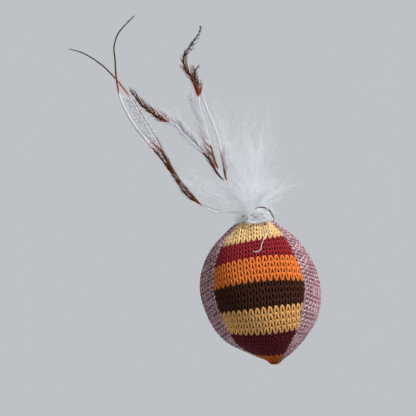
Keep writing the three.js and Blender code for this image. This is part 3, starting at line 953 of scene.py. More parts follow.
def plume_recipe():
    """Down: long loose hairs from a short stem, each with finer hairs of its own."""
    tree = Recipe("down", Stem=0.0004, **barb_inputs("Hair"), **barb_inputs("Fine"))
    paths = tree.lines()
    hairs = grow(tree, paths, "Hair", 21, vane=True)
    ready = tree.store(hairs, reach=tree.stored("next_reach"), sweep=0.45)
    fine = grow(tree, ready, "Fine", 31, vane=False)
    stem = tree.tube(paths, tree.given("Stem"), 5)
    tree.finish(stem, *(tree.tube(each, tree.stored("width"), 3) for each in (hairs, fine)))


def thread_recipe():
    """Round thread along lines."""
    tree = Recipe("thread", Thickness=0.0005, Sides=8)
    tree.finish(tree.tube(tree.lines(), tree.given("Thickness"), tree.given("Sides")))


# Settings that a user would change

def length_setting(name, description, millimetres):
    return bpy.props.FloatProperty(
        name=name, description=description, default=millimetres * MM, min=0.0, unit="LENGTH", precision=5
    )


def colour_setting(name, description, code):
    return bpy.props.FloatVectorProperty(
        name=name, description=description, default=srgb(code), min=0.0, max=1.0, size=3, subtype="COLOR"
    )


class StripedKnitSettings(bpy.types.PropertyGroup):
    wale: length_setting("Wale", "Width of one column of stitches", 2.29)
    yarn: length_setting("Yarn", "Thickness of the yarn", 0.79)
    cream: colour_setting("Cream", "Colour of the first stripe", "#F2CC92")
    maroon: colour_setting("Maroon", "Colour of the second stripe", "#98282F")
    orange: colour_setting("Orange", "Colour of the third stripe", "#EC823C")
    brown: colour_setting("Brown", "Colour of the fourth stripe", "#422315")
    tan: colour_setting("Tan", "Colour of the fifth stripe", "#E5AE6B")
    low_maroon: colour_setting("Lower maroon", "Colour of the sixth stripe", "#5E1620")
    tip_orange: colour_setting("Tip orange", "Colour of the last stripe", "#BC6020")


class MarlKnitSettings(bpy.types.PropertyGroup):
    wale: length_setting("Wale", "Width of one column of stitches", 2.16)
    course: length_setting("Course", "Height of one row of stitches", 1.55)
    yarn: length_setting("Yarn", "Thickness of the yarn", 0.66)
    pale: colour_setting("Pale strand", "Colour of the paler strand", "#DCC0C4")
    plum: colour_setting("Plum strand", "Colour of the darker strand", "#92606C")


class ThreadSettings(bpy.types.PropertyGroup):
    gathering: length_setting("Gathering thread", "Thickness of the thread round the neck", 0.5)
    overlock: length_setting("Overlock thread", "Thickness of the thread over the seams", 0.36)
    overlock_pitch: length_setting("Overlock pitch", "Distance between stitches along a seam", 1.7)
    colour: colour_setting("Overlock colour", "Colour of the seam thread", "#D8C6C8")
    gathering_colour: colour_setting("Gathering colour", "Colour of the gathering thread", "#E6E4E2")


class FeatherSettings(bpy.types.PropertyGroup):
    quill: length_setting("Quill", "Thickness of a quill at its root", 0.5)
    barb: length_setting("Barb", "Thickness of a barb at its root", 0.16)
    quill_tip_colour: colour_setting("Tip", "Colour of a bare quill's tip", "#54400E")
    dark_colour: colour_setting("Dark brown", "Colour of the darkest barbs", "#2E170E")
    rust_colour: colour_setting("Rust", "Colour of the brown barbs", "#7C4218")
    pink_colour: colour_setting("Pink", "Colour between brown and white", "#B5605A")
    white_colour: colour_setting("White", "Colour of the white bands", "#E4E4EA")


class DownSettings(bpy.types.PropertyGroup):
    hair: length_setting("Hair", "Thickness of a long hair", 0.065)
    fine: length_setting("Fine hair", "Thickness of a fine hair", 0.038)
    colour: colour_setting("Down", "Colour of the down", "#EDF0F5")


class InsideSettings(bpy.types.PropertyGroup):
    filling_colour: colour_setting("Filling", "Colour of the stuffing", "#F0EEEA")
    capsule_colour: colour_setting("Capsule", "Colour of the rattle's capsule", "#E8E6DF")
    pellet_colour: colour_setting("Pellets", "Colour of the steel shot", "#B4B7BA")
    glue_colour: colour_setting("Glue", "Colour of the glue in the neck", "#E3DCC4")
    voxel: length_setting("Voxel", "Size at which the stuffing is remeshed", 1.3)


class StageSettings(bpy.types.PropertyGroup):
    floor_drop: length_setting("Floor drop", "How far below the neck the floor lies", 120.0)
    floor_radius: length_setting("Floor radius", "Radius of the pale floor", 350.0)
    background: colour_setting("Background", "Colour behind the object", "#BEC1C5")
    view_width: length_setting("View width", "Width of the camera's view at the object", 156.0)


# The knitted panels. Lengths are in millimetres. A name that ends in share is a part of the gore's width, or
# of the ball's radius there.

CLOTH_SINK = 0.82
CLOTH_SINK_SHARE = 0.22
CLOTH_THICKNESS = 0.3
EDGE_MEET = -0.25
EDGE_SHARE = 0.26
EDGE_ROLL = 0.6
EDGE_ROLL_SHARE = 0.1
YARN_LIFT = 0.38
YARN_RIDGE = 0.07
YARN_FLAP = 0.25
FLAP = 2.2
FLAP_SHARE = 0.25
GORE_ROWS = 110
GORE_COLUMNS = 44
ROLL_STEPS = 4
PLEAT_DEPTH = 0.45
PLEAT_WALES = 3.0
PLEAT_LEVELS = (-8.5, -1.8)
# The yarn is thinner where its wales close up, and where the ball's radius is below this.
SLIM_RADIUS = 6.0
SLIM_SHARES = (0.3, 0.55)
MARL_HEAD_HEIGHT = 0.62
MARL_BOW_SHARES = [(-0.02, 0), (0.15, -0.06), (0.6, -0.07), (0.95, 0)]

# Each pair is a share of the ball's height and the number of the course that starts there.
STRIPE_ROWS = [
    (-0.0836, 0), (0.112, 7), (0.228, 11), (0.39, 15), (0.578, 19), (0.757, 23), (0.924, 29), (1, 32),
]
# How far the rows hang down at both seams, and how far they fall to the right, by share of the height.
STRIPE_BOW_SHARES = [
    (-0.02, 0), (0.11, 0.0063), (0.23, 0.0333), (0.39, 0.0335), (0.58, 0.0068), (0.76, -0.0127),
    (0.92, -0.0108),
]
STRIPE_TILT_SHARES = [
    (-0.02, 0), (0.11, -0.017), (0.23, -0.0114), (0.39, -0.001), (0.58, -0.0048), (0.76, 0.009),
    (0.92, 0.01),
]
# How wide the wales are, by share of the height: they close up towards the neck and the tip.
WALE_SHARES = [
    (-0.0836, 0.45), (-0.03, 0.5), (0, 0.74), (0.05, 0.83), (0.112, 0.9), (0.25, 1), (0.6, 1), (0.76, 0.96),
    (0.92, 0.84), (1, 0.6),
]
# How far the striped gores reach over each seam, by share of the height.
OVERLAP_SHARES = {
    "front_left": [(-0.02, 2.4), (0.15, 1.2), (0.3, 0.9), (0.9, 0.8)],
    "front_right": [(-0.02, 3.2), (0.1, 1.6), (0.25, 0.85), (0.9, 0.75)],
    "back_right": [(-0.02, 1.4), (0.2, 0.8), (0.9, 0.75)],
    "back_left": [(-0.02, 1.4), (0.2, 0.8), (0.9, 0.75)],
}


def seam_overlap(seam, level, width):
    table = np.array(OVERLAP_SHARES[SEAMS[seam % len(SEAMS)]]).T
    return np.minimum(np.interp(level.height_share, *table), width * EDGE_SHARE)


class Knit:
    """How one gore's stitches lie: its wales, its courses, and how its rows bow and tilt across it."""

    def __init__(self, seam, wale, over, rows, bow, tilt=((0, 0), (1, 0))):
        self.seam = seam
        self.wale = wale
        self.over = over
        shares, numbers = np.array(rows, float).T
        self.rows = length_at_height(shares), numbers
        self.bow = np.array(bow, float).T
        self.tilt = np.array(tilt, float).T

    def row_place(self, level, width_share):
        """Which course passes through a level at a share of the half width, from -1 to 1."""
        w = np.clip(width_share, -1.25, 1.25)
        share = level.height_share[:, None]
        middle = share + 0 * w
        for _ in range(6):
            middle = share - np.interp(middle, *self.bow) * w**2 - np.interp(middle, *self.tilt) * w
        return np.interp(length_at_height(middle), *self.rows)

    def wale_size(self, level):
        return self.wale * np.interp(level.height_share, *np.array(WALE_SHARES).T)


def gore_surface(knit, flap):
    """A gore's outer cloth surface: points, outward directions, fabric places and yarn sizes, in rows."""
    level = Levels(np.linspace(0, 1, GORE_ROWS))
    seams = (knit.seam, knit.seam + 1)
    start, end = (seam_bearing(seam, level.down) for seam in seams)
    sink = np.minimum(CLOTH_SINK, level.radius * CLOTH_SINK_SHARE)
    width = np.radians(end - start) * (level.radius - sink)
    roll = np.minimum(EDGE_ROLL, width * EDGE_ROLL_SHARE)
    flap = np.minimum(flap, level.radius * FLAP_SHARE)
    edges = [seam_overlap(seam, level, width) for seam in seams]
    left, right = (roll + (-over if knit.over else over + EDGE_MEET) for over in edges)

    def in_from(bearing, way, distance, depth):
        radius = level.radius * fullness(distance / width) - sink - depth
        return level.around(bearing, radius, way * distance)

    # Each rim line lies out past the gore's edge, at a depth, and so far along the turned-in cloth.
    rims = [(roll, roll + flap * part, roll * math.pi / 2 + flap * part) for part in (1.0, 0.5)]
    for turn in np.linspace(0, math.pi / 2, ROLL_STEPS, endpoint=False):
        rims.append((roll * math.cos(turn), roll * (1 - math.sin(turn)), roll * (math.pi / 2 - turn)))
    points = [in_from(start, 1, left - out, depth) for out, depth, _ in rims]
    places = [left - past - width / 2 for _, _, past in rims]
    for share in np.linspace(0, 1, GORE_COLUMNS):
        inner = lerp(left, width - right, share) / width
        points.append(level.around(lerp(start, end, inner), level.radius * fullness(inner) - sink))
        places.append((inner - 0.5) * width)
    points += [in_from(end, -1, right - out, depth) for out, depth, _ in reversed(rims)]
    places += [width / 2 - right + past for _, _, past in reversed(rims)]
    points, places = np.stack(points, 1), np.stack(places, 1)
    full = width[:, None] / 2
    size = knit.wale_size(level)[:, None]
    across = places / size
    down = knit.row_place(level, places / full)
    pleat = PLEAT_DEPTH * np.cos(2 * math.pi * across / PLEAT_WALES)
    pleat = pleat * smoothstep(level.z, *PLEAT_LEVELS)[:, None] * smoothstep(full - np.abs(places), 0.0, 1.0)
    points = points + surface_normals(points) * pleat[..., None]
    squeeze = np.sqrt(np.clip(size / knit.wale, SLIM_SHARES[0], 1)) * np.ones_like(places)
    narrow = np.clip(level.radius / SLIM_RADIUS, SLIM_SHARES[1], 1)[:, None]
    fabric = np.stack([across / FABRIC_SPAN + 0.5, down / FABRIC_SPAN], axis=-1)
    return points, surface_normals(points), fabric, squeeze * narrow


def surface_normals(points):
    """Unit directions out of a grid of points whose rows run down and whose columns run to the right."""
    down, right = np.gradient(points, axis=0), np.gradient(points, axis=1)
    return unit(np.cross(down, right))


def slab_object(name, outer, inner):
    """The closed wall between two facing grids of points."""
    rows, columns = outer.shape[:2]
    count = rows * columns
    points = np.vstack([outer.reshape(-1, 3), inner.reshape(-1, 3)])
    faces = grid_faces(rows, columns) + grid_faces(rows, columns, count, flip=True)
    rims = [(row, edge, columns, edge > 0) for row in range(rows - 1) for edge in (0, columns - 1)]
    rims += [(edge, column, 1, edge == 0) for column in range(columns - 1) for edge in (0, rows - 1)]
    for row, column, step, turned in rims:
        a = row * columns + column
        face = (a, a + count, a + count + step, a + step)
        faces.append(face[::-1] if turned else face)
    return mesh_object(name, points, faces)


def make_panel(side, knit, cloth_material, yarn_material, settings):
    """One gore: a thin dark sheet, painted as the shade between its stitches, and the courses of yarn over
    it.
    """
    node = side + "_panel"
    points, outward, fabric, _ = gore_surface(knit, FLAP)
    cloth = slab_object(side + "_cloth", points, points - outward * CLOTH_THICKNESS)
    store_uv(cloth, "fabric", np.vstack([fabric.reshape(-1, 2)] * 2))
    store(cloth, "course", np.tile(fabric[..., 1].ravel(), 2) * FABRIC_SPAN - 0.5)
    dress(cloth, cloth_material, "ball", [node])
    points, outward, fabric, sizes = gore_surface(knit, YARN_FLAP)
    skin = mesh_object(side + "_skin", points.reshape(-1, 3), grid_faces(*points.shape[:2]))
    store_uv(skin, "fabric", fabric.reshape(-1, 2))
    store(skin, "outward", outward.reshape(-1, 3))
    store(skin, "yarn_size", sizes.ravel())
    first = math.floor((fabric[..., 0].min() - 0.5) * FABRIC_SPAN) - 0.5
    top = math.floor(fabric[..., 1].min() * FABRIC_SPAN) - 1
    values = {
        "First Wale": first,
        "Wales": math.ceil((fabric[..., 0].max() - 0.5) * FABRIC_SPAN - first) + 1,
        "First Course": top,
        "Courses": math.ceil(fabric[..., 1].max() * FABRIC_SPAN) - top + 1,
        "Lift": YARN_LIFT * MM,
        "Ridge": YARN_RIDGE * MM,
        **settings,
    }
    yarn = grown(side + "_yarn", skin, "knitted courses", values, yarn_material)
    dress(yarn, None, "ball", [node])
    height = float(OUTLINE_LENGTH[-1]) * MM
    widest = float(np.ptp(fabric[..., 0]) * FABRIC_SPAN * knit.wale) * MM
    min(cloth_area(points) * MM * MM, widest * height)


def cloth_area(points):
    """The area of a grid of points, in square millimetres."""
    down, right = np.diff(points, axis=0)[:, :-1], np.diff(points, axis=1)[:-1]
    return float(np.linalg.norm(np.cross(down, right), axis=-1).sum())


class TOY_OT_striped_panels(bpy.types.Operator):
    """Knit the front and back gores in stripes."""

    bl_idname = "toy.striped_panels"
    bl_label = "Striped panels"

    def execute(self, context):
        knit = context.scene.striped_knit
        boundaries = [number for _, number in STRIPE_ROWS[1:-1]]
        stripes = ("cream", "maroon", "orange", "brown", "tan", "low_maroon", "tip_orange")
        colours = [tuple(getattr(knit, stripe)) for stripe in stripes]
        pick = stripe_colours(STRIPE_ROWS[-1][1], boundaries, colours)
        yarn = knit_finish("striped yarn", pick, 1.3, 0.16)
        # The gaps between the striped stitches are painted in a deep shade of each stripe's colour.
        cloth = gap_shade_finish("striped cloth", pick)
        for side, seam, seed in (("front_striped", 0, 3), ("back_striped", 2, 5)):
            stitches = Knit(seam, knit.wale / MM, True, STRIPE_ROWS, STRIPE_BOW_SHARES, STRIPE_TILT_SHARES)
            make_panel(side, stitches, cloth, yarn, {"Yarn": knit.yarn, "Seed": seed})
        return {"FINISHED"}


class TOY_OT_marl_panels(bpy.types.Operator):
    """Knit the left and right gores in marled yarn."""

    bl_idname = "toy.marl_panels"
    bl_label = "Marled panels"

    def execute(self, context):
        knit = context.scene.marl_knit
        yarn = knit_finish("marled yarn", marl_colours(tuple(knit.pale), tuple(knit.plum)), 1.1, 0.1)
        # The gaps between the marled stitches are painted in a deep shade of the plum strand.
        cloth = gap_shade_finish("marled cloth", lambda tree, weave: tuple(knit.plum))
        settings = {"Yarn": knit.yarn, "Head Height": MARL_HEAD_HEIGHT}
        rows = [STRIPE_ROWS[0], (1, float(OUTLINE_LENGTH[-1]) * MM / knit.course)]
        for side, seam, seed in (("right_mauve", 1, 7), ("left_mauve", 3, 9)):
            stitches = Knit(seam, knit.wale / MM, False, rows, MARL_BOW_SHARES)
            make_panel(side, stitches, cloth, yarn, {**settings, "Seed": seed})
        return {"FINISHED"}


# Threads, in millimetres

# The thread round the neck: its turns and their pitch, its plies, how far they take for one twist, and, as
# shares of its thickness, how thick each ply is and how far it lies from the middle
WINDING_TURNS = 2.5
WINDING_PITCH = 0.95
WINDING_PLIES = 3
WINDING_TWIST = 1.5
PLY_SHARE = 0.52
PLY_OUT_SHARE = 0.24
# The stitches over a seam's turned-in edges: how deep the edges reach and how far they lie under the skin,
# how far the coil reaches across and outwards, and how the edges' loose thread runs
SEAM_DEPTH = 3.6
SEAM_DEPTH_SHARE = 0.33
SEAM_SINK = 1.6
COIL_REACH = (1.35, 1.55)
SEAM_EDGE_DEPTH = 1.5
SEAM_EDGE_WANDER = 0.25
# The knot, as a share of the solid knot's radius, and its thread
KNOT_SHARE = 0.72
KNOT_THREAD = 0.4
# The rungs beside a seam: the shares of the outline's length between which they lie, then their sizes
RUNG_SHARES = (0.16, 0.93)
RUNG_PITCH = 1.6
RUNG_LENGTH = 1.15
RUNG_REACH = (0.25, 0.75)
RUNG_RISE = 0.3


def helix_round(route, across, outwards, reach, pitch, steps=20):
    """A coil round a route, with how far it reaches across it and out from it."""
    turns = lengths_along(route)[-1] / pitch
    shares = np.linspace(0, 1, int(turns * steps))
    sideways, out = unit(places_along(across, shares)), unit(places_along(outwards, shares))
    angle = 2 * math.pi * turns * shares[:, None]
    return places_along(route, shares) + sideways * reach[0] * np.cos(angle) + out * reach[1] * np.sin(angle)


class TOY_OT_threads(bpy.types.Operator):
    """Wind the gathering thread, overlock the seams and tie the tip."""

    bl_idname = "toy.threads"
    bl_label = "Threads"

    def execute(self, context):
        thread = context.scene.thread
        finish = thread_finish("gathering thread", thread.gathering_colour, 0.6)
        size = thread.gathering / MM
        settings = {"Thickness": size * PLY_SHARE * MM, "Sides": 6}
        name = "gathering_thread"
        self.lay("gathering_winding", self.winding(size), settings, finish, name, name)
        finish = thread_finish("overlock thread", thread.colour)
        settings = {"Thickness": thread.overlock, "Sides": 5}
        for seam, name in enumerate(SEAMS):
            node = name + "_seam_thread"
            paths = [*self.stitches(seam, node, thread.overlock_pitch / MM), *self.rungs(seam)]
            self.lay(name + "_overlock", paths, settings, finish, "seam_thread", node)
        settings = {"Thickness": KNOT_THREAD * MM, "Sides": 7}
        self.lay("tip_tie", [self.knot()], settings, finish, "seam_thread", "tip_knot")
        return {"FINISHED"}

    @staticmethod
    def lay(name, paths, settings, finish, slot, node):
        """Round thread along paths."""
        made = grown(name, path_object(name + "_path", paths), "thread", settings, finish)
        dress(made, None, "ball", [node])

    @staticmethod
    def winding(size):
        """The plies of the thread that is wound round the neck."""
        radius = NECK_RADIUS + CLEARANCE + size / 2
        foot = -NECK_FOOT + CLEARANCE + size / 2
        turns = np.linspace(0, 1, 180) * WINDING_TURNS
        angle = turns * 2 * math.pi
        middle = np.stack([radius * np.sin(angle), radius * np.cos(angle), foot + turns * WINDING_PITCH], -1)
        out, up = unit(middle * [1, 1, 0]), np.array([[0.0, 0.0, 1.0]])
        twist = angle * radius / WINDING_TWIST * 2 * math.pi
        for ply in range(WINDING_PLIES):
            turn = (twist + ply * 2 * math.pi / WINDING_PLIES)[:, None]
            strand = middle + (out * np.cos(turn) + up * np.sin(turn)) * size * PLY_OUT_SHARE
            yield places_along(strand, np.linspace(0, 1, 420))

    @staticmethod
    def stitches(seam, node, pitch):
        """The coil of overlock stitches over a seam's turned-in edges, and the edges' loose thread."""
        low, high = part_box(node)
        shares = np.linspace(0, 1, 400)
        level = Levels(shares)
        level = Levels(shares[(level.z <= high.z / MM) & (level.z >= low.z / MM)])
        bearing = seam_bearing(seam, level.down)
        depth = np.minimum(SEAM_DEPTH, level.radius * SEAM_DEPTH_SHARE)
        skin = level.radius * fullness(0) - SEAM_SINK
        middle = level.around(bearing, skin - depth / 2)
        heart = level.around(bearing, 0 * skin)
        across = level.around(bearing, 0 * skin, 1.0) - heart
        out = level.around(bearing, 1 + 0 * skin) - heart
        wander = SEAM_EDGE_WANDER * np.sin(np.arange(len(middle)))[:, None]
        edge = middle - out * SEAM_EDGE_DEPTH + across * wander
        return helix_round(middle, across, out, COIL_REACH, pitch), edge

    @staticmethod
    def rungs(seam):
        """Short leaning stitches that show beside a seam, on its marled side."""
        side = 1 if seam % 2 else -1
        length = OUTLINE_LENGTH[-1]
        for start in np.arange(*RUNG_SHARES, RUNG_PITCH / length):
            level = Levels(np.linspace(start, start + RUNG_LENGTH / length, 6))
            start_bearing, end_bearing = (seam_bearing(each, level.down) for each in (seam, seam + 1))
            width = np.radians(end_bearing - start_bearing) * level.radius
            past = seam_overlap(seam, level, width) + EDGE_MEET + np.linspace(*RUNG_REACH, 6)
            bulge = np.sin(np.linspace(0, math.pi, 6))
            radius = level.radius * fullness(past / width) - CLOTH_SINK + YARN_LIFT + RUNG_RISE * bulge
            yield level.around(start_bearing, radius, side * past)

    @staticmethod
    def knot():
        """A trefoil of thread in the place of the tip's knot."""
        low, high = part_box("tip_knot")
        turn = np.linspace(0, 2 * math.pi, 120)
        x = (np.sin(turn) + 2 * np.sin(2 * turn)) / 3
        y = (np.cos(turn) - 2 * np.cos(2 * turn)) / 3
        trefoil = np.stack([x, y, -np.sin(3 * turn) / 2], -1)
        reach = (high.x - low.x) / MM / 2
        return np.array((low + high) / 2) / MM + trefoil * reach * KNOT_SHARE


# The feathers and the down

# Each feather has a layer, counted from front to back, how far it spreads to the back as it rises, and a
# length in millimetres. Its route, and the route of its fork, are shares of that length to the left of the
# origin and above it. The other tables are pairs of a share of the route and a value: how far the barbs
# reach, in millimetres, and how much they sweep towards the tip, to the left and to the right, how stout and
# how dense they are, their tone, and the tone and the thickness of the quill.
FEATHERS = {
    "far_left_feather": dict(
        plane=-2,
        spread=-0.1,
        length=93.0,
        route=[
            (0.032, 0.036), (0.08, 0.041), (0.153, 0.046), (0.195, 0.072), (0.255, 0.144), (0.292, 0.206),
            (0.352, 0.343), (0.397, 0.437), (0.443, 0.541), (0.488, 0.613), (0.543, 0.679), (0.608, 0.729),
            (0.66, 0.751),
        ],
        left_reach=[
            (0.18, 0), (0.22, 3), (0.44, 3.2), (0.5, 5.5), (0.66, 5), (0.71, 1.5), (0.8, 0.9), (1, 0.7),
        ],
        reach=[(0.18, 0), (0.22, 3), (0.44, 3.2), (0.5, 3.4), (0.66, 3), (0.71, 1.2), (0.8, 0.9), (1, 0.7)],
        left_sweep=[(0.2, 0.75), (0.46, 0.8), (0.5, 0.7), (1, 0.8)],
        sweep=[(0.2, 1.2), (0.46, 1.2), (0.5, 0.7), (1, 0.8)],
        stout=[(0.2, 1.3), (0.45, 1.4), (0.49, 0.8), (0.68, 0.8), (0.74, 1), (1, 1)],
        density=[(0.18, 0.1), (0.22, 0.16), (0.45, 0.18), (0.49, 1), (0.67, 1), (0.72, 0.12), (1, 0.06)],
        tone=[
            (0.2, 0.6), (0.24, 0.32), (0.43, 0.28), (0.47, 0.6), (0.5, 1), (0.69, 1), (0.73, 0.4),
            (1, 0.02),
        ],
        quill_tone=[
            (0.19, 0.85), (0.23, 0.34), (0.46, 0.28), (0.49, 0.95), (0.68, 0.9), (0.72, 0.58), (0.8, 0.42),
            (0.84, 0.02),
        ],
        quill_size=[
            (0, 0.7), (0.2, 0.9), (0.24, 2), (0.42, 2.2), (0.47, 1.2), (0.5, 0.9), (0.8, 1), (0.85, 1.1),
            (1, 0.7),
        ],
    ),
    "tall_curved_feather": dict(
        plane=-1,
        spread=-0.05,
        length=87.8,
        route=[
            (0.04, 0.034), (0.114, 0.044), (0.206, 0.082), (0.272, 0.132), (0.311, 0.203), (0.346, 0.269),
            (0.397, 0.35), (0.462, 0.449), (0.505, 0.555), (0.517, 0.65), (0.514, 0.738), (0.513, 0.787),
            (0.489, 0.843), (0.416, 0.91),
        ],
        left_reach=[(0.17, 0), (0.2, 2), (0.43, 2.2), (0.48, 1.2), (0.7, 1.2), (0.78, 0.9), (1, 1)],
        reach=[(0.17, 0), (0.2, 2.4), (0.43, 2.6), (0.48, 1.2), (0.7, 1.2), (0.78, 0.9), (1, 1)],
        left_sweep=[(0.2, 1.2), (0.46, 1.3), (0.5, 0.8), (1, 1)],
        sweep=[(0.2, 1.2), (0.46, 1.3), (0.5, 0.8), (1, 1)],
        stout=[(0.2, 1.3), (0.45, 1.3), (0.49, 0.45), (0.7, 0.5), (0.76, 0.9), (1, 0.9)],
        density=[(0.18, 0.1), (0.44, 0.14), (0.48, 0.8), (0.69, 0.5), (0.73, 0.12), (1, 0.08)],
        tone=[
            (0.19, 0.6), (0.22, 0.3), (0.43, 0.34), (0.46, 0.6), (0.49, 1), (0.68, 1), (0.73, 0.45),
            (0.78, 0.02),
        ],
        quill_tone=[
            (0.19, 0.85), (0.22, 0.2), (0.44, 0.22), (0.48, 0.95), (0.68, 0.95), (0.71, 0.58), (0.76, 0.36),
            (0.79, 0.02),
        ],
        quill_size=[
            (0, 0.7), (0.2, 0.9), (0.24, 1.1), (0.44, 1.1), (0.5, 1.7), (0.7, 1.4), (0.78, 1.2), (0.92, 1),
            (1, 0.6),
        ],
    ),
    "short_left_feather": dict(
        plane=0,
        spread=0.0,
        length=66.7,
        route=[
            (0.045, 0.055), (0.074, 0.115), (0.12, 0.216), (0.162, 0.258), (0.22, 0.372), (0.267, 0.429),
            (0.348, 0.528), (0.373, 0.568), (0.468, 0.622), (0.562, 0.711), (0.612, 0.792),
        ],
        left_reach=[
            (0.24, 0), (0.27, 3), (0.43, 3.2), (0.47, 2.6), (0.7, 2.6), (0.74, 2.6), (0.9, 2), (1, 1),
        ],
        reach=[(0.24, 0), (0.27, 3), (0.43, 3.4), (0.47, 6.5), (0.7, 6.5), (0.74, 5), (0.9, 4), (1, 1.6)],
        left_sweep=[(0.2, 1.25), (0.44, 1.25), (0.48, 0.7), (1, 0.8)],
        sweep=[(0.2, 1.25), (0.44, 1.25), (0.48, 0.7), (0.72, 0.6), (0.76, 0.7), (1, 0.9)],
        stout=[(0.25, 1.6), (0.44, 1.6), (0.47, 0.8), (0.7, 0.8), (0.74, 1.9), (1, 1.6)],
        density=[(0.2, 0.08), (0.44, 0.1), (0.47, 1), (0.7, 1), (0.73, 0.2), (1, 0.16)],
        tone=[
            (0.25, 0.5), (0.28, 0.26), (0.43, 0.28), (0.46, 1), (0.69, 1), (0.72, 0.6), (0.76, 0.38),
            (1, 0.3),
        ],
        quill_tone=[
            (0.25, 0.85), (0.27, 0.22), (0.44, 0.22), (0.46, 0.95), (0.7, 0.95), (0.73, 0.24), (1, 0.2),
        ],
        quill_size=[
            (0, 0.7), (0.25, 0.9), (0.3, 1.6), (0.43, 1.3), (0.48, 0.9), (0.72, 1), (0.76, 1.8),
            (0.94, 1.3), (1, 0.6),
        ],
    ),
    "tall_middle_feather": dict(
        plane=1,
        spread=0.05,
        length=75.7,
        route=[
            (0.032, 0.05), (0.055, 0.1), (0.085, 0.153), (0.12, 0.197), (0.152, 0.285), (0.168, 0.361),
            (0.192, 0.514), (0.207, 0.589), (0.206, 0.664), (0.229, 0.731), (0.26, 0.79), (0.258, 0.843),
            (0.226, 0.882), (0.166, 0.956), (0.16, 0.987),
        ],
        fork=[(0.208, 0.64), (0.21, 0.702), (0.2115, 0.732), (0.212, 0.766), (0.218, 0.786)],
        left_reach=[
            (0.24, 0), (0.27, 4.5), (0.36, 5.5), (0.4, 7.5), (0.6, 7), (0.63, 4), (0.76, 3), (0.82, 1.6),
            (1, 0.8),
        ],
        reach=[
            (0.24, 0), (0.27, 1), (0.36, 1), (0.4, 1), (0.6, 1), (0.63, 4), (0.76, 4), (0.84, 3.2),
            (0.94, 2), (1, 0.8),
        ],
        left_sweep=[(0.2, 0.7), (0.6, 0.8), (0.64, 0.9), (0.78, 0.8), (0.84, 0.6), (1, 0.9)],
        sweep=[(0.2, 0.8), (0.6, 0.8), (0.64, 0.8), (0.8, 0.6), (0.84, 0.4), (1, 0.6)],
        stout=[
            (0.26, 1.5), (0.37, 1.3), (0.4, 0.85), (0.6, 0.85), (0.63, 1.7), (0.8, 1.8), (0.9, 2), (1, 1.5),
        ],
        density=[
            (0.2, 0.1), (0.37, 0.2), (0.4, 1), (0.61, 1), (0.64, 0.24), (0.77, 0.2), (0.82, 0.14),
            (1, 0.12),
        ],
        tone=[
            (0.26, 0.7), (0.29, 0.36), (0.36, 0.42), (0.4, 1), (0.6, 1), (0.62, 0.55), (0.65, 0.38),
            (0.78, 0.36), (0.85, 0.22), (1, 0.2),
        ],
        quill_tone=[
            (0.26, 0.9), (0.28, 0.3), (0.37, 0.35), (0.4, 0.95), (0.61, 0.95), (0.64, 0.3), (0.85, 0.2),
            (1, 0.18),
        ],
        quill_size=[
            (0, 0.7), (0.3, 0.9), (0.6, 0.8), (0.65, 2.2), (0.75, 2), (0.8, 1.1), (0.9, 0.9), (1, 0.4),
        ],
    ),
    "short_middle_feather": dict(
        plane=2,
        spread=0.1,
        length=61.4,
        route=[
            (0.034, 0.065), (0.078, 0.142), (0.101, 0.192), (0.134, 0.241), (0.145, 0.347), (0.153, 0.456),
            (0.176, 0.59), (0.204, 0.682), (0.233, 0.788), (0.265, 0.87), (0.262, 0.938), (0.233, 0.972),
        ],
        left_reach=[
            (0.24, 0), (0.27, 1.6), (0.43, 1.8), (0.47, 1.6), (0.8, 1.4), (0.84, 2.4), (0.95, 1.8),
            (1, 0.8),
        ],
        reach=[
            (0.24, 0), (0.27, 3.6), (0.42, 3.8), (0.46, 1.6), (0.8, 1.4), (0.84, 2.6), (0.95, 1.8),
            (1, 0.8),
        ],
        left_sweep=[(0.2, 1.3), (0.44, 1.2), (0.5, 0.9), (1, 0.9)],
        sweep=[(0.2, 0.9), (0.44, 0.8), (0.5, 0.9), (1, 0.9)],
        stout=[(0.26, 1.4), (0.42, 1.2), (0.46, 0.45), (0.8, 0.5), (0.84, 1.5), (1, 1.2)],
        density=[(0.2, 0.1), (0.43, 0.28), (0.46, 0.7), (0.8, 0.7), (0.84, 0.18), (1, 0.14)],
        tone=[(0.25, 0.6), (0.28, 0.42), (0.41, 0.5), (0.45, 1), (0.8, 1), (0.84, 0.38), (1, 0.24)],
        quill_tone=[
            (0.24, 0.5), (0.27, 0.26), (0.41, 0.4), (0.45, 0.9), (0.8, 0.85), (0.84, 0.2), (1, 0.12),
        ],
        quill_size=[
            (0, 0.7), (0.26, 1), (0.3, 1.8), (0.4, 1.6), (0.45, 1.1), (0.8, 1), (0.86, 1.4), (1, 0.5),
        ],
    ),
}

# Each plume has a layer and a spread too, a lean in degrees from upright, and a length and half a width in
# millimetres. Its sides are how much of that half width it reaches to the left and to the right.
PLUMES = {
    "front_down_plume": dict(plane=-4, spread=-0.34, lean=-22, length=40.0, half=13.0, sides=(0.35, 1.15)),
    "left_down_plume": dict(plane=-3, spread=-0.18, lean=-58, length=36.0, half=8.0, sides=(1, 1)),
    "right_down_plume": dict(plane=3, spread=0.14, lean=62, length=20.0, half=6.0, sides=(1, 1)),
    "back_down_plume": dict(plane=4, spread=0.32, lean=10, length=36.0, half=13.0, sides=(1, 1)),
}

# The tables that every feather has
VANE_TABLES = (
    "reach", "left_reach", "sweep", "left_sweep", "stout", "density", "tone", "quill_tone", "quill_size",
)
# The fork takes what the tables say from this share of the route onwards.
FORK_FROM_SHARE = 0.8
BARBS_EACH_MM = 30
FEATHER_BARBS = {"Barb Steps": 6, "Barb Bend": 0.5, "Barb Curl": 0.3, "Barb Scatter": 0.3}

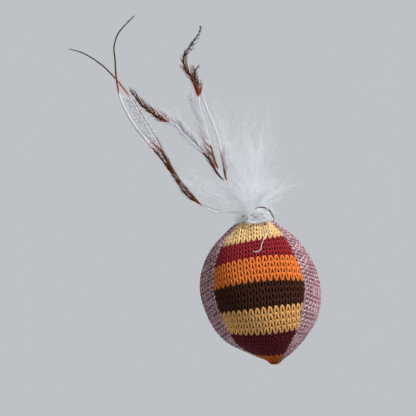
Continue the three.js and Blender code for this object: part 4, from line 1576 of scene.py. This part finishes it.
# How far a plume's stem reaches, as shares of its length, and by share of that stem how wide the plume is and
# how much its hairs sweep. The counts are of long and of fine hairs to each millimetre of its length.
PLUME_STEM_SHARES = (0.25, 0.5)
PLUME_WIDTHS = [(0, 0.5), (0.3, 0.9), (0.7, 1), (1, 0.9)]
PLUME_WIDENING = 1.35
PLUME_SWEEPS = [(0, 0.1), (0.3, 0.6), (1, 1.1)]
PLUME_HAIR_COUNTS = (8, 130)
PLUME_HAIR = {
    "Hair Steps": 16,
    "Hair Bend": 0.5,
    "Hair Waves": 2.2,
    "Hair Curl": 1.3,
    "Hair Scatter": 1.0,
    "Hair Next Reach": 0.22,
    "Hair Shortest": 0.25,
    "Fine Steps": 5,
    "Fine Bend": 0.4,
    "Fine Waves": 1.5,
    "Fine Curl": 1.2,
}
CURLY_HAIR = {
    "Hair Steps": 8,
    "Hair Bend": 1.2,
    "Hair Waves": 2.5,
    "Hair Curl": 1.3,
    "Hair Scatter": 2.0,
    "Hair Next Reach": 0.35,
    "Fine Steps": 4,
    "Fine Curl": 1.2,
}
DOWN_STEM = 0.12
# How many long and fine hairs the clump and the ruff have
CLUMP_COUNTS = (2400, 4600)
RUFF_COUNTS = (2100, 4300)
# The clump's tangle: how often it swings sideways, backwards and upwards, where the first two swings start,
# how much of the clump's size it takes, and how far it hangs below the middle
TANGLE_TURNS = (7, 11, 5)
TANGLE_STARTS = (0.4, 1.1)
TANGLE_SHARES = (0.8, 0.75, 0.85)
TANGLE_DROP = 0.6
# The ring and the rim of the ruff: how high above the neck's top they lie, how far they wave and how often
RING_WAVE = (-1.3, 1.2, 3.3)
RIM_WAVE = (0.6, 0.4, 9)
# How a tuft bends outwards, and how far below the roots it starts
TUFT_FLARE = 1.4
TUFT_SINK = 0.4
# How far the hairs reach, in millimetres, and how much they sweep
CLUMP_REACH = 2.1
STRAND_REACH = 0.6
RING_REACH = 4.4
RIM_REACH = 2.8
TUFT_REACH = (3.2, 5.4)
CURLY_SWEEP = 0.6

# The brown barb, by share of its length: how far its barbules reach, in millimetres, how thick it is beside
# its quill's size, and its tone. Then its quill, and the count, thickness and sweep of its barbules
BARBULE_REACH = [(0, 0.5), (0.3, 0.9), (0.6, 1.2), (0.76, 0.7), (1, 0.5)]
BARB_THICKNESS = [(0, 0.2), (0.35, 0.34), (0.5, 0.62), (0.64, 0.78), (0.76, 0.26), (1, 0.14)]
BARB_TONE = [(0, 0.4), (0.4, 0.28), (0.66, 0.26), (0.8, 0.42), (1, 0.5)]
BARB_QUILL = 0.5
BARBULES = 130
BARBULE_THICKNESS = 0.11
BARBULE_SWEEP = 0.8


def layered(piece, route):
    """A route in its layer, whose depth grows with the distance from the root."""
    route = np.array(route, float)
    far = np.hypot(route[:, 0], route[:, 2] - NECK_TOP)
    route[:, 1] = piece["plane"] * ROOT_PITCH + piece["spread"] * far
    return route


def vane_source(name, routes, **values):
    """Lines for hairs to grow from, alike on both sides, with any values that differ from plain ones."""
    plain = {"stout": 1.0, "density": 1.0, "tone": 1.0}
    table = {**plain, "left_reach": values["reach"], "left_sweep": values["sweep"], **values}
    table = {key: np.broadcast_to(value, sum(map(len, routes))) for key, value in table.items()}
    table["facing"] = np.vstack([facing_of(route) for route in routes])
    return path_object(name + "_path", routes, table)


def facing_of(route):
    """The direction across a route, to the right as it is seen from the front with the tip up."""
    tangent = unit(np.gradient(route, axis=0))
    return unit(np.cross(tangent, [0.0, -1.0, 0.0]))


class TOY_OT_feathers(bpy.types.Operator):
    """Grow the five banded feathers on their quills."""

    bl_idname = "toy.feathers"
    bl_label = "Feathers"

    def execute(self, context):
        feather = context.scene.feather
        finish = feather_finish("banded feather", feather)
        for node, piece in FEATHERS.items():
            shares = np.linspace(0, 1, 160)
            routes = [self.placed(piece, "route", shares)]
            if "fork" in piece:
                routes.append(self.placed(piece, "fork", np.linspace(0, 1, 30)))
                shares = np.append(shares, np.linspace(FORK_FROM_SHARE, 1, 30))
            tables = {key: table_along(piece[key], shares) for key in VANE_TABLES}
            for key in ("reach", "left_reach"):
                tables[key] = tables[key] * MM
            length = sum(lengths_along(each)[-1] for each in routes)
            values = {
                "Quill": feather.quill,
                "Barb Count": int(length * BARBS_EACH_MM),
                "Barb Thickness": feather.barb,
                **FEATHER_BARBS,
            }
            source = vane_source(node, routes, **tables)
            made = grown(node + "_barbs", source, "feather barbs", values, finish)
            dress(made, None, node, [node])
        return {"FINISHED"}

    @staticmethod
    def placed(piece, key, shares):
        """Places along a feather's route or fork, in its layer."""
        points = [(-left * piece["length"], 0, up * piece["length"]) for left, up in piece[key]]
        if key == "route":
            points.insert(0, (0, 0, ROOT_LEVEL))
        return layered(piece, places_along(smooth_path(points), shares))


class TOY_OT_down(bpy.types.Operator):
    """Grow the plumes of down, the curled clump, the ruff round the neck and the brown barb."""

    bl_idname = "toy.down"
    bl_label = "Down"

    def execute(self, context):
        down = context.scene.down
        finish = plain_finish("white down", down.colour, painted_glow=True)
        sizes = {"Stem": DOWN_STEM * MM, "Hair Thickness": down.hair, "Fine Thickness": down.fine}

        def grow_down(name, source, body, node, hair, counts):
            values = {**sizes, **hair, "Hair Count": int(counts[0]), "Fine Count": int(counts[1])}
            made = grown(name, source, "down", values, finish)
            dress(made, None, body, [node])

        for node, piece in PLUMES.items():
            counts = [piece["length"] * count for count in PLUME_HAIR_COUNTS]
            grow_down(node + "_hair", self.plume(node, piece), node, node, PLUME_HAIR, counts)
        grow_down("curled_clump", self.clump(), "ball", "curled_down_clump", CURLY_HAIR, CLUMP_COUNTS)
        grow_down("neck_ruff", self.ruff(), "ball", "curled_down_clump", CURLY_HAIR, RUFF_COUNTS)
        self.brown_barb(context.scene.feather)
        return {"FINISHED"}

    @staticmethod
    def plume(node, piece):
        """The stem of a plume, which leans to one side."""
        lean = math.radians(piece["lean"])
        risen = np.array([0, 0, ROOT_LEVEL + PLUME_ROOT_RISE])
        ahead = np.array([math.sin(lean), 0, math.cos(lean)])
        stem = [(0, 0, ROOT_LEVEL), risen, *(risen + ahead * s * piece["length"] for s in PLUME_STEM_SHARES)]
        shares = np.linspace(0, 1, 60)
        route = layered(piece, places_along(smooth_path(stem), shares))
        wide = table_along(PLUME_WIDTHS, shares) * piece["half"] * PLUME_WIDENING * MM
        left, right = piece["sides"]
        sweep = table_along(PLUME_SWEEPS, shares)
        return vane_source(node, [route], reach=wide * right, left_reach=wide * left, sweep=sweep)

    def clump(self):
        """A dense curl of down that lies in the neck, and the strand that hangs from it."""
        middle, size = np.array(CLUMP_MIDDLE), np.array(CLUMP_SIZE) / 2
        turn = np.linspace(0, 1, 400) * 2 * math.pi
        sideways, backwards = (np.sin(turn * n + start) for n, start in zip(TANGLE_TURNS, TANGLE_STARTS))
        tangle = np.stack([sideways, backwards, np.cos(turn * TANGLE_TURNS[2])], -1)
        curl = middle + tangle * size * TANGLE_SHARES + [0, 0, -TANGLE_DROP]
        strand = smooth_path([self.on_ball(x, z) for x, z in STRAND])
        reach = [(0.8 + 0.4 * np.sin(turn * 17)) * CLUMP_REACH, np.full(len(strand), STRAND_REACH)]
        return vane_source("clump", [curl, strand], reach=np.concatenate(reach) * MM, sweep=CURLY_SWEEP)

    @staticmethod
    def on_ball(x, z):
        """A point just in front of the ball's surface."""
        radius = np.interp(-z, -OUTLINE[:, 1], OUTLINE[:, 0]) + STRAND_LIFT
        return (x, -math.sqrt(max(radius**2 - x**2, STRAND_LEAST_DEPTH**2)), z)

    def ruff(self):
        """Down that lies round the neck, and tufts that rise from it at the sides and the back."""
        turn = np.linspace(0, RUFF_TURNS * 2 * math.pi, 360)
        ring = self.hoop(RUFF_RADIUS, turn, *RING_WAVE)
        turn = np.radians(np.linspace(*RIM_BEARINGS, 120))
        rim = self.hoop(RIM_RADIUS, turn, *RIM_WAVE)
        tufts = [self.tuft(bearing, TUFT_OUT, TUFT_RISE) for bearing in TUFT_BEARINGS]
        tufts += [self.tuft(bearing, CORE_OUT, CORE_RISE) for bearing in CORE_BEARINGS]
        reach = [np.full(len(ring), RING_REACH), np.full(len(rim), RIM_REACH)]
        reach += [np.linspace(*TUFT_REACH, len(tuft)) for tuft in tufts]
        reach = np.concatenate(reach) * MM
        return vane_source("ruff", [ring, rim, *tufts], reach=reach, sweep=CURLY_SWEEP)

    @staticmethod
    def hoop(radius, turn, above, wave, waves):
        """A wavy ring above the neck's top, at bearings from the front in radians."""
        level = NECK_TOP + above + wave * np.sin(turn * waves)
        return np.stack([radius * np.sin(turn), -radius * np.cos(turn), level], -1)

    @staticmethod
    def tuft(bearing, out, rise):
        """A short stem that leans outwards as it rises from the top of the neck."""
        share, turn = np.linspace(0, 1, 30), math.radians(bearing)
        radius, level = lerp(*out, share**TUFT_FLARE), ROOT_LEVEL - TUFT_SINK + rise * share
        return np.stack([radius * math.sin(turn), -radius * math.cos(turn), level], -1)

    @staticmethod
    def brown_barb(feather):
        """The brown barb that curls over the clump, with barbules of its own."""
        points = [(x, CLUMP_MIDDLE[1] - BARB_AHEAD, z) for x, z in BARB_ROUTE]
        shares = np.linspace(0, 1, 60)
        tone = table_along(BARB_TONE, shares)
        source = vane_source(
            "brown_barb",
            [places_along(smooth_path(points), shares)],
            reach=table_along(BARBULE_REACH, shares) * MM,
            sweep=BARBULE_SWEEP,
            tone=tone,
            quill_tone=tone,
            quill_size=table_along(BARB_THICKNESS, shares),
        )
        values = {"Quill": BARB_QUILL * MM, "Barb Count": BARBULES, "Barb Thickness": BARBULE_THICKNESS * MM}
        made = grown("curled_barb", source, "feather barbs", values, feather_finish("brown barb", feather))
        dress(made, None, "ball", ["curled_brown_barb"])


# Inside the ball

# How hard and for how many frames the filling is puffed, and how far a point may move, in millimetres
PRESSURE = 4
PRESSED_FRAMES = 20
MOST_SWELL = 0.2
# The shot is pressed flatter at its poles: by how much, and from how near to them
SHOT_PRESSED = 0.015
SHOT_POLE = 0.9
# The glue's rounded ends and its waist, in millimetres. The levels are of its shoulder and waist above its
# foot, and of its collar below its top.
GLUE_FOOT_RISE = 0.9
GLUE_TOP_RISE = 0.5
GLUE_TOP_SINK = 0.1
GLUE_WAIST_SHARE = 0.985
GLUE_LEVELS = (1.4, 3.2, 1.0)


def cad_copy(node, name):
    """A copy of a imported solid, with its doubles merged."""
    return face_out(new_object(name, frame["nodes"][node].data.copy()))


def coordinates(mesh):
    """The place of each point, in metres."""
    values = np.empty(len(mesh.vertices) * 3)
    mesh.vertices.foreach_get("co", values)
    return values.reshape(-1, 3)


def swell(piece, voxel, most):
    """Puffs a stuffed piece by simulated cloth under pressure, and limits how far any point moves."""
    remesh = piece.modifiers.new("voxels", "REMESH")
    remesh.mode = "VOXEL"
    remesh.voxel_size = voxel
    settled = evaluated_mesh(piece)
    piece.modifiers.clear()
    piece.data = settled
    before = after = coordinates(settled)
    cloth = piece.modifiers.new("cloth", "CLOTH")
    cloth.settings.use_pressure = True
    cloth.settings.uniform_pressure_force = PRESSURE
    cloth.settings.effector_weights.gravity = 0
    cloth.settings.quality = 4
    scene = bpy.context.scene
    for number in range(PRESSED_FRAMES):
        scene.frame_set(number + 1)
    after = coordinates(evaluated_mesh(piece))
    piece.modifiers.clear()
    scene.frame_set(1)
    move = after - before
    far = np.linalg.norm(move, axis=1, keepdims=True)
    capped = before + move * np.minimum(1, most / np.maximum(far, 1e-9))
    settled.vertices.foreach_set("co", capped.ravel())
    settled.polygons.foreach_set("use_smooth", [True] * len(settled.polygons))
    settled.update()
    return piece


class TOY_OT_stuffing(bpy.types.Operator):
    """Stuff the ball with two halves of filling."""

    bl_idname = "toy.stuffing"
    bl_label = "Stuffing"

    def execute(self, context):
        inside = context.scene.inside
        finish = plain_finish("filling", inside.filling_colour)
        for half in ("upper", "lower"):
            node = half + "_filling"
            piece = swell(cad_copy(node, half + "_stuffing"), inside.voxel, MOST_SWELL * MM)
            dress(piece, finish, "ball", [node])
        return {"FINISHED"}


def turned_object(name, profile, segments=64):
    """A closed solid of revolution about a vertical axis, from radii and heights in millimetres."""
    profile = np.array(profile, float)
    angles = np.linspace(0, 2 * math.pi, segments, endpoint=False)
    points = [(r * math.cos(a), r * math.sin(a), z) for r, z in profile for a in angles]
    made = mesh_object(name, points, grid_faces(len(profile), segments, closed=True))
    return face_out(made)


def arc(radius, start, end, steps=24):
    angles = np.radians(np.linspace(start, end, steps))
    return [(radius * math.cos(a), radius * math.sin(a)) for a in angles]


def rounding(share):
    """How far a dome has dropped at a share of its radius, as a share of its rise."""
    return 1 - math.sqrt(1 - share * share)


class TOY_OT_rattle(bpy.types.Operator):
    """Make the rattle's capsule and its steel shot, and the glue in the neck."""

    bl_idname = "toy.rattle"
    bl_label = "Rattle and glue"

    def execute(self, context):
        inside = context.scene.inside
        self.capsule(plain_finish("capsule", inside.capsule_colour))
        self.pellets(plain_finish("steel shot", inside.pellet_colour))
        self.glue(plain_finish("set glue", inside.glue_colour))
        return {"FINISHED"}

    @staticmethod
    def capsule(finish):
        inner = CAPSULE_RADIUS - CAPSULE_WALL
        half = CLEARANCE / 2
        lip_outer = inner - CLEARANCE
        lip_inner = lip_outer - CAPSULE_LIP_WALL
        rise = math.degrees(math.asin(half / inner))
        foot = -math.degrees(math.acos(lip_inner / inner))
        top = [*arc(inner, 90, rise), *arc(CAPSULE_RADIUS, rise, 90)]
        base = [
            *arc(CAPSULE_RADIUS, -90, -rise),
            (lip_outer, -half),
            (lip_outer, CAPSULE_LIP_HEIGHT),
            (lip_inner, CAPSULE_LIP_HEIGHT),
            *arc(inner, foot, -90),
        ]
        for name, node, profile in (
            ("rattle_cap", "rattle_capsule_top", top),
            ("rattle_cup", "rattle_capsule_base", base),
        ):
            placed = [(max(r, 0.0), z - CAPSULE_DEPTH) for r, z in profile]
            dress(turned_object(name, placed), finish, "ball", [node])

    @staticmethod
    def pellets(finish):
        random = np.random.default_rng(4)
        for side in ("left", "middle", "right"):
            node = "rattle_pellet_" + side
            low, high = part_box(node)
            work = bmesh.new()
            bmesh.ops.create_icosphere(work, subdivisions=4, radius=PELLET_RADIUS * MM)
            tilt = Vector(unit(random.normal(size=3)))
            for vertex in work.verts:
                pressed = max(0.0, abs(vertex.co.normalized().dot(tilt)) - SHOT_POLE) / (1 - SHOT_POLE)
                vertex.co *= 1 - SHOT_PRESSED * pressed
                vertex.co += (low + high) / 2
            mesh = bpy.data.meshes.new(side + "_shot")
            work.to_mesh(mesh)
            work.free()
            mesh.polygons.foreach_set("use_smooth", [True] * len(mesh.polygons))
            dress(new_object(side + "_shot", mesh), finish, node, [node])

    @staticmethod
    def glue(finish):
        low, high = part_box("neck_glue_plug")
        radius = (high.x - low.x) / 2 / MM
        top, foot = high.z / MM, low.z / MM
        shoulder, waist, collar = GLUE_LEVELS
        foot_shares, top_shares = (0.3, 0.6, 0.8, 0.95), (0.97, 0.85, 0.6, 0.3)
        profile = [
            (0.0, foot),
            *[(radius * s, foot + GLUE_FOOT_RISE * rounding(s)) for s in foot_shares],
            (radius, foot + shoulder),
            (radius * GLUE_WAIST_SHARE, foot + waist),
            (radius, top - collar),
            *[(radius * s, top - GLUE_TOP_RISE * rounding(s) - GLUE_TOP_SINK) for s in top_shares],
            (0.0, top - GLUE_TOP_SINK),
        ]
        dress(turned_object("neck_glue", profile, 40), finish, "ball", ["neck_glue_plug"])


# The stage, in metres

FLOOR_SIDES = 96
# How far out the floor starts to fade, and where it is gone, as shares of its radius
FLOOR_FADE = (0.55, 0.98)
# Each lamp's place, width and power
LAMPS = {
    "key": ((0.66, -0.46, 0.48), 0.22, 9.3),
    "fill": ((-0.35, -0.72, 0.5), 0.5, 0.9),
    "back": ((-0.1, 0.7, 0.5), 0.5, 3.0),
}
LIT_PLACE = (0, 0, -0.01)
AMBIENT_LIGHT = 0.2
# The camera: its lens and sensor in millimetres, its roll in degrees, and its place across and its height
CAMERA_LENS = 200
CAMERA_SENSOR = 36
CAMERA_ROLL = 6
CAMERA_PLACE = (-0.01643, 0.00587)


class TOY_OT_stage(bpy.types.Operator):
    """Set the floor, the lights, the background and the camera."""

    bl_idname = "toy.stage"
    bl_label = "Stage"

    def execute(self, context):
        stage = context.scene.stage
        self.floor(stage)
        self.world(stage)
        self.lights()
        self.camera(stage)
        context.scene.view_settings.view_transform = "Standard"
        return {"FINISHED"}

    def floor(self, stage):
        radius, level = stage.floor_radius / MM, -stage.floor_drop / MM
        angles = np.linspace(0, 2 * math.pi, FLOOR_SIDES, endpoint=False)
        rim = [(radius * math.cos(a), radius * math.sin(a), level) for a in angles]
        faces = [(0, side + 1, (side + 1) % FLOOR_SIDES + 1) for side in range(FLOOR_SIDES)]
        floor = mesh_object("floor", [(0, 0, level), *rim], faces)
        tree = Finish("pale floor")
        place = tree.place()
        x, y, _ = place.parts()
        far = ((x * x + y * y) ** 0.5) / stage.floor_radius
        grain = tree.noise(place, 60.0, 2.0)
        colour = tree.shaded(tuple(stage.background), 1.0 + (grain - 0.5) * 0.02)
        above = 1.0 - tree.node("ShaderNodeNewGeometry", {}, {}, "Backfacing")
        alpha = far.ease(*FLOOR_FADE, 1.0, 0.0) * above
        floor.data.materials.append(tree.surface(Base_Color=colour, Roughness=0.9, Alpha=alpha))

    def world(self, stage):
        world = bpy.data.worlds.new("studio")
        world.use_nodes = True
        world.node_tree.nodes.clear()
        tree = Tree(world.node_tree)
        path = tree.node("ShaderNodeLightPath")
        seen = path + path.beside("Is Glossy Ray") + path.beside("Is Transmission Ray")
        ambient = tree.node("ShaderNodeBackground", {}, {"Color": (1, 1, 1, 1), "Strength": AMBIENT_LIGHT})
        shown = tree.node("ShaderNodeBackground", {}, {"Color": (*stage.background, 1), "Strength": 1.0})
        mixed = tree.node("ShaderNodeMixShader", {}, [seen, ambient, shown])
        tree.node("ShaderNodeOutputWorld", {}, {"Surface": mixed})
        bpy.context.scene.world = world

    def lights(self):
        for name, (place, size, power) in LAMPS.items():
            data = bpy.data.lights.new(name, "AREA")
            data.shape = "DISK"
            data.size = size
            data.energy = power
            lamp = new_object(name, data)
            lamp.location = place
            aim = Vector(LIT_PLACE) - Vector(place)
            lamp.rotation_euler = aim.to_track_quat("-Z", "Y").to_euler()

    def camera(self, stage):
        data = bpy.data.cameras.new("camera")
        data.lens, data.sensor_width = CAMERA_LENS, CAMERA_SENSOR
        far = stage.view_width / 2 / (data.sensor_width / 2 / data.lens)
        roll = math.radians(CAMERA_ROLL)
        right = Vector((math.cos(roll), 0, -math.sin(roll)))
        up = Vector((math.sin(roll), 0, math.cos(roll)))
        back = Vector((0, -1, 0))
        turned = Matrix((right, up, back)).transposed().to_4x4()
        across, height = CAMERA_PLACE
        camera = new_object("camera", data)
        camera.matrix_world = Matrix.Translation((across, -far, height)) @ turned
        data.clip_start, data.clip_end = 0.01, 20
        bpy.context.scene.camera = camera


class TOY_PT_panel(bpy.types.Panel):
    """Lists the steps and settings of the toy."""

    bl_idname = "TOY_PT_panel"
    bl_label = "Feather ball"
    bl_space_type = "VIEW_3D"
    bl_region_type = "UI"
    bl_category = "Feather ball"

    def draw(self, context):
        for group, steps in STEPS:
            box = self.layout.box()
            settings = getattr(context.scene, group)
            for name in settings.bl_rna.properties.keys():
                if name not in ("rna_type", "name"):
                    box.prop(settings, name)
            for step in steps:
                box.operator(step.bl_idname)


STEPS = [
    ("stage", [TOY_OT_stage]),
    ("inside", [TOY_OT_stuffing, TOY_OT_rattle]),
    ("striped_knit", [TOY_OT_striped_panels]),
    ("marl_knit", [TOY_OT_marl_panels]),
    ("thread", [TOY_OT_threads]),
    ("feather", [TOY_OT_feathers]),
    ("down", [TOY_OT_down]),
]
SETTINGS = {
    "striped_knit": StripedKnitSettings,
    "marl_knit": MarlKnitSettings,
    "thread": ThreadSettings,
    "feather": FeatherSettings,
    "down": DownSettings,
    "inside": InsideSettings,
    "stage": StageSettings,
}
OPERATORS = [step for _, steps in STEPS for step in steps]


def register():
    for group in [*SETTINGS.values(), *OPERATORS, TOY_PT_panel]:
        bpy.utils.register_class(group)
    for name, group in SETTINGS.items():
        setattr(bpy.types.Scene, name, bpy.props.PointerProperty(type=group))


def unregister():
    for name in SETTINGS:
        delattr(bpy.types.Scene, name)
    for group in reversed([*SETTINGS.values(), *OPERATORS, TOY_PT_panel]):
        bpy.utils.unregister_class(group)


def main():
    register()
    for build in (knit_recipe, feather_recipe, plume_recipe, thread_recipe):
        build()
    for _, steps in STEPS:
        for step in steps:
            group, name = step.bl_idname.split(".")
            getattr(getattr(bpy.ops, group), name)()
    bpy.context.view_layer.update()


if __name__ == "__main__":
    main()
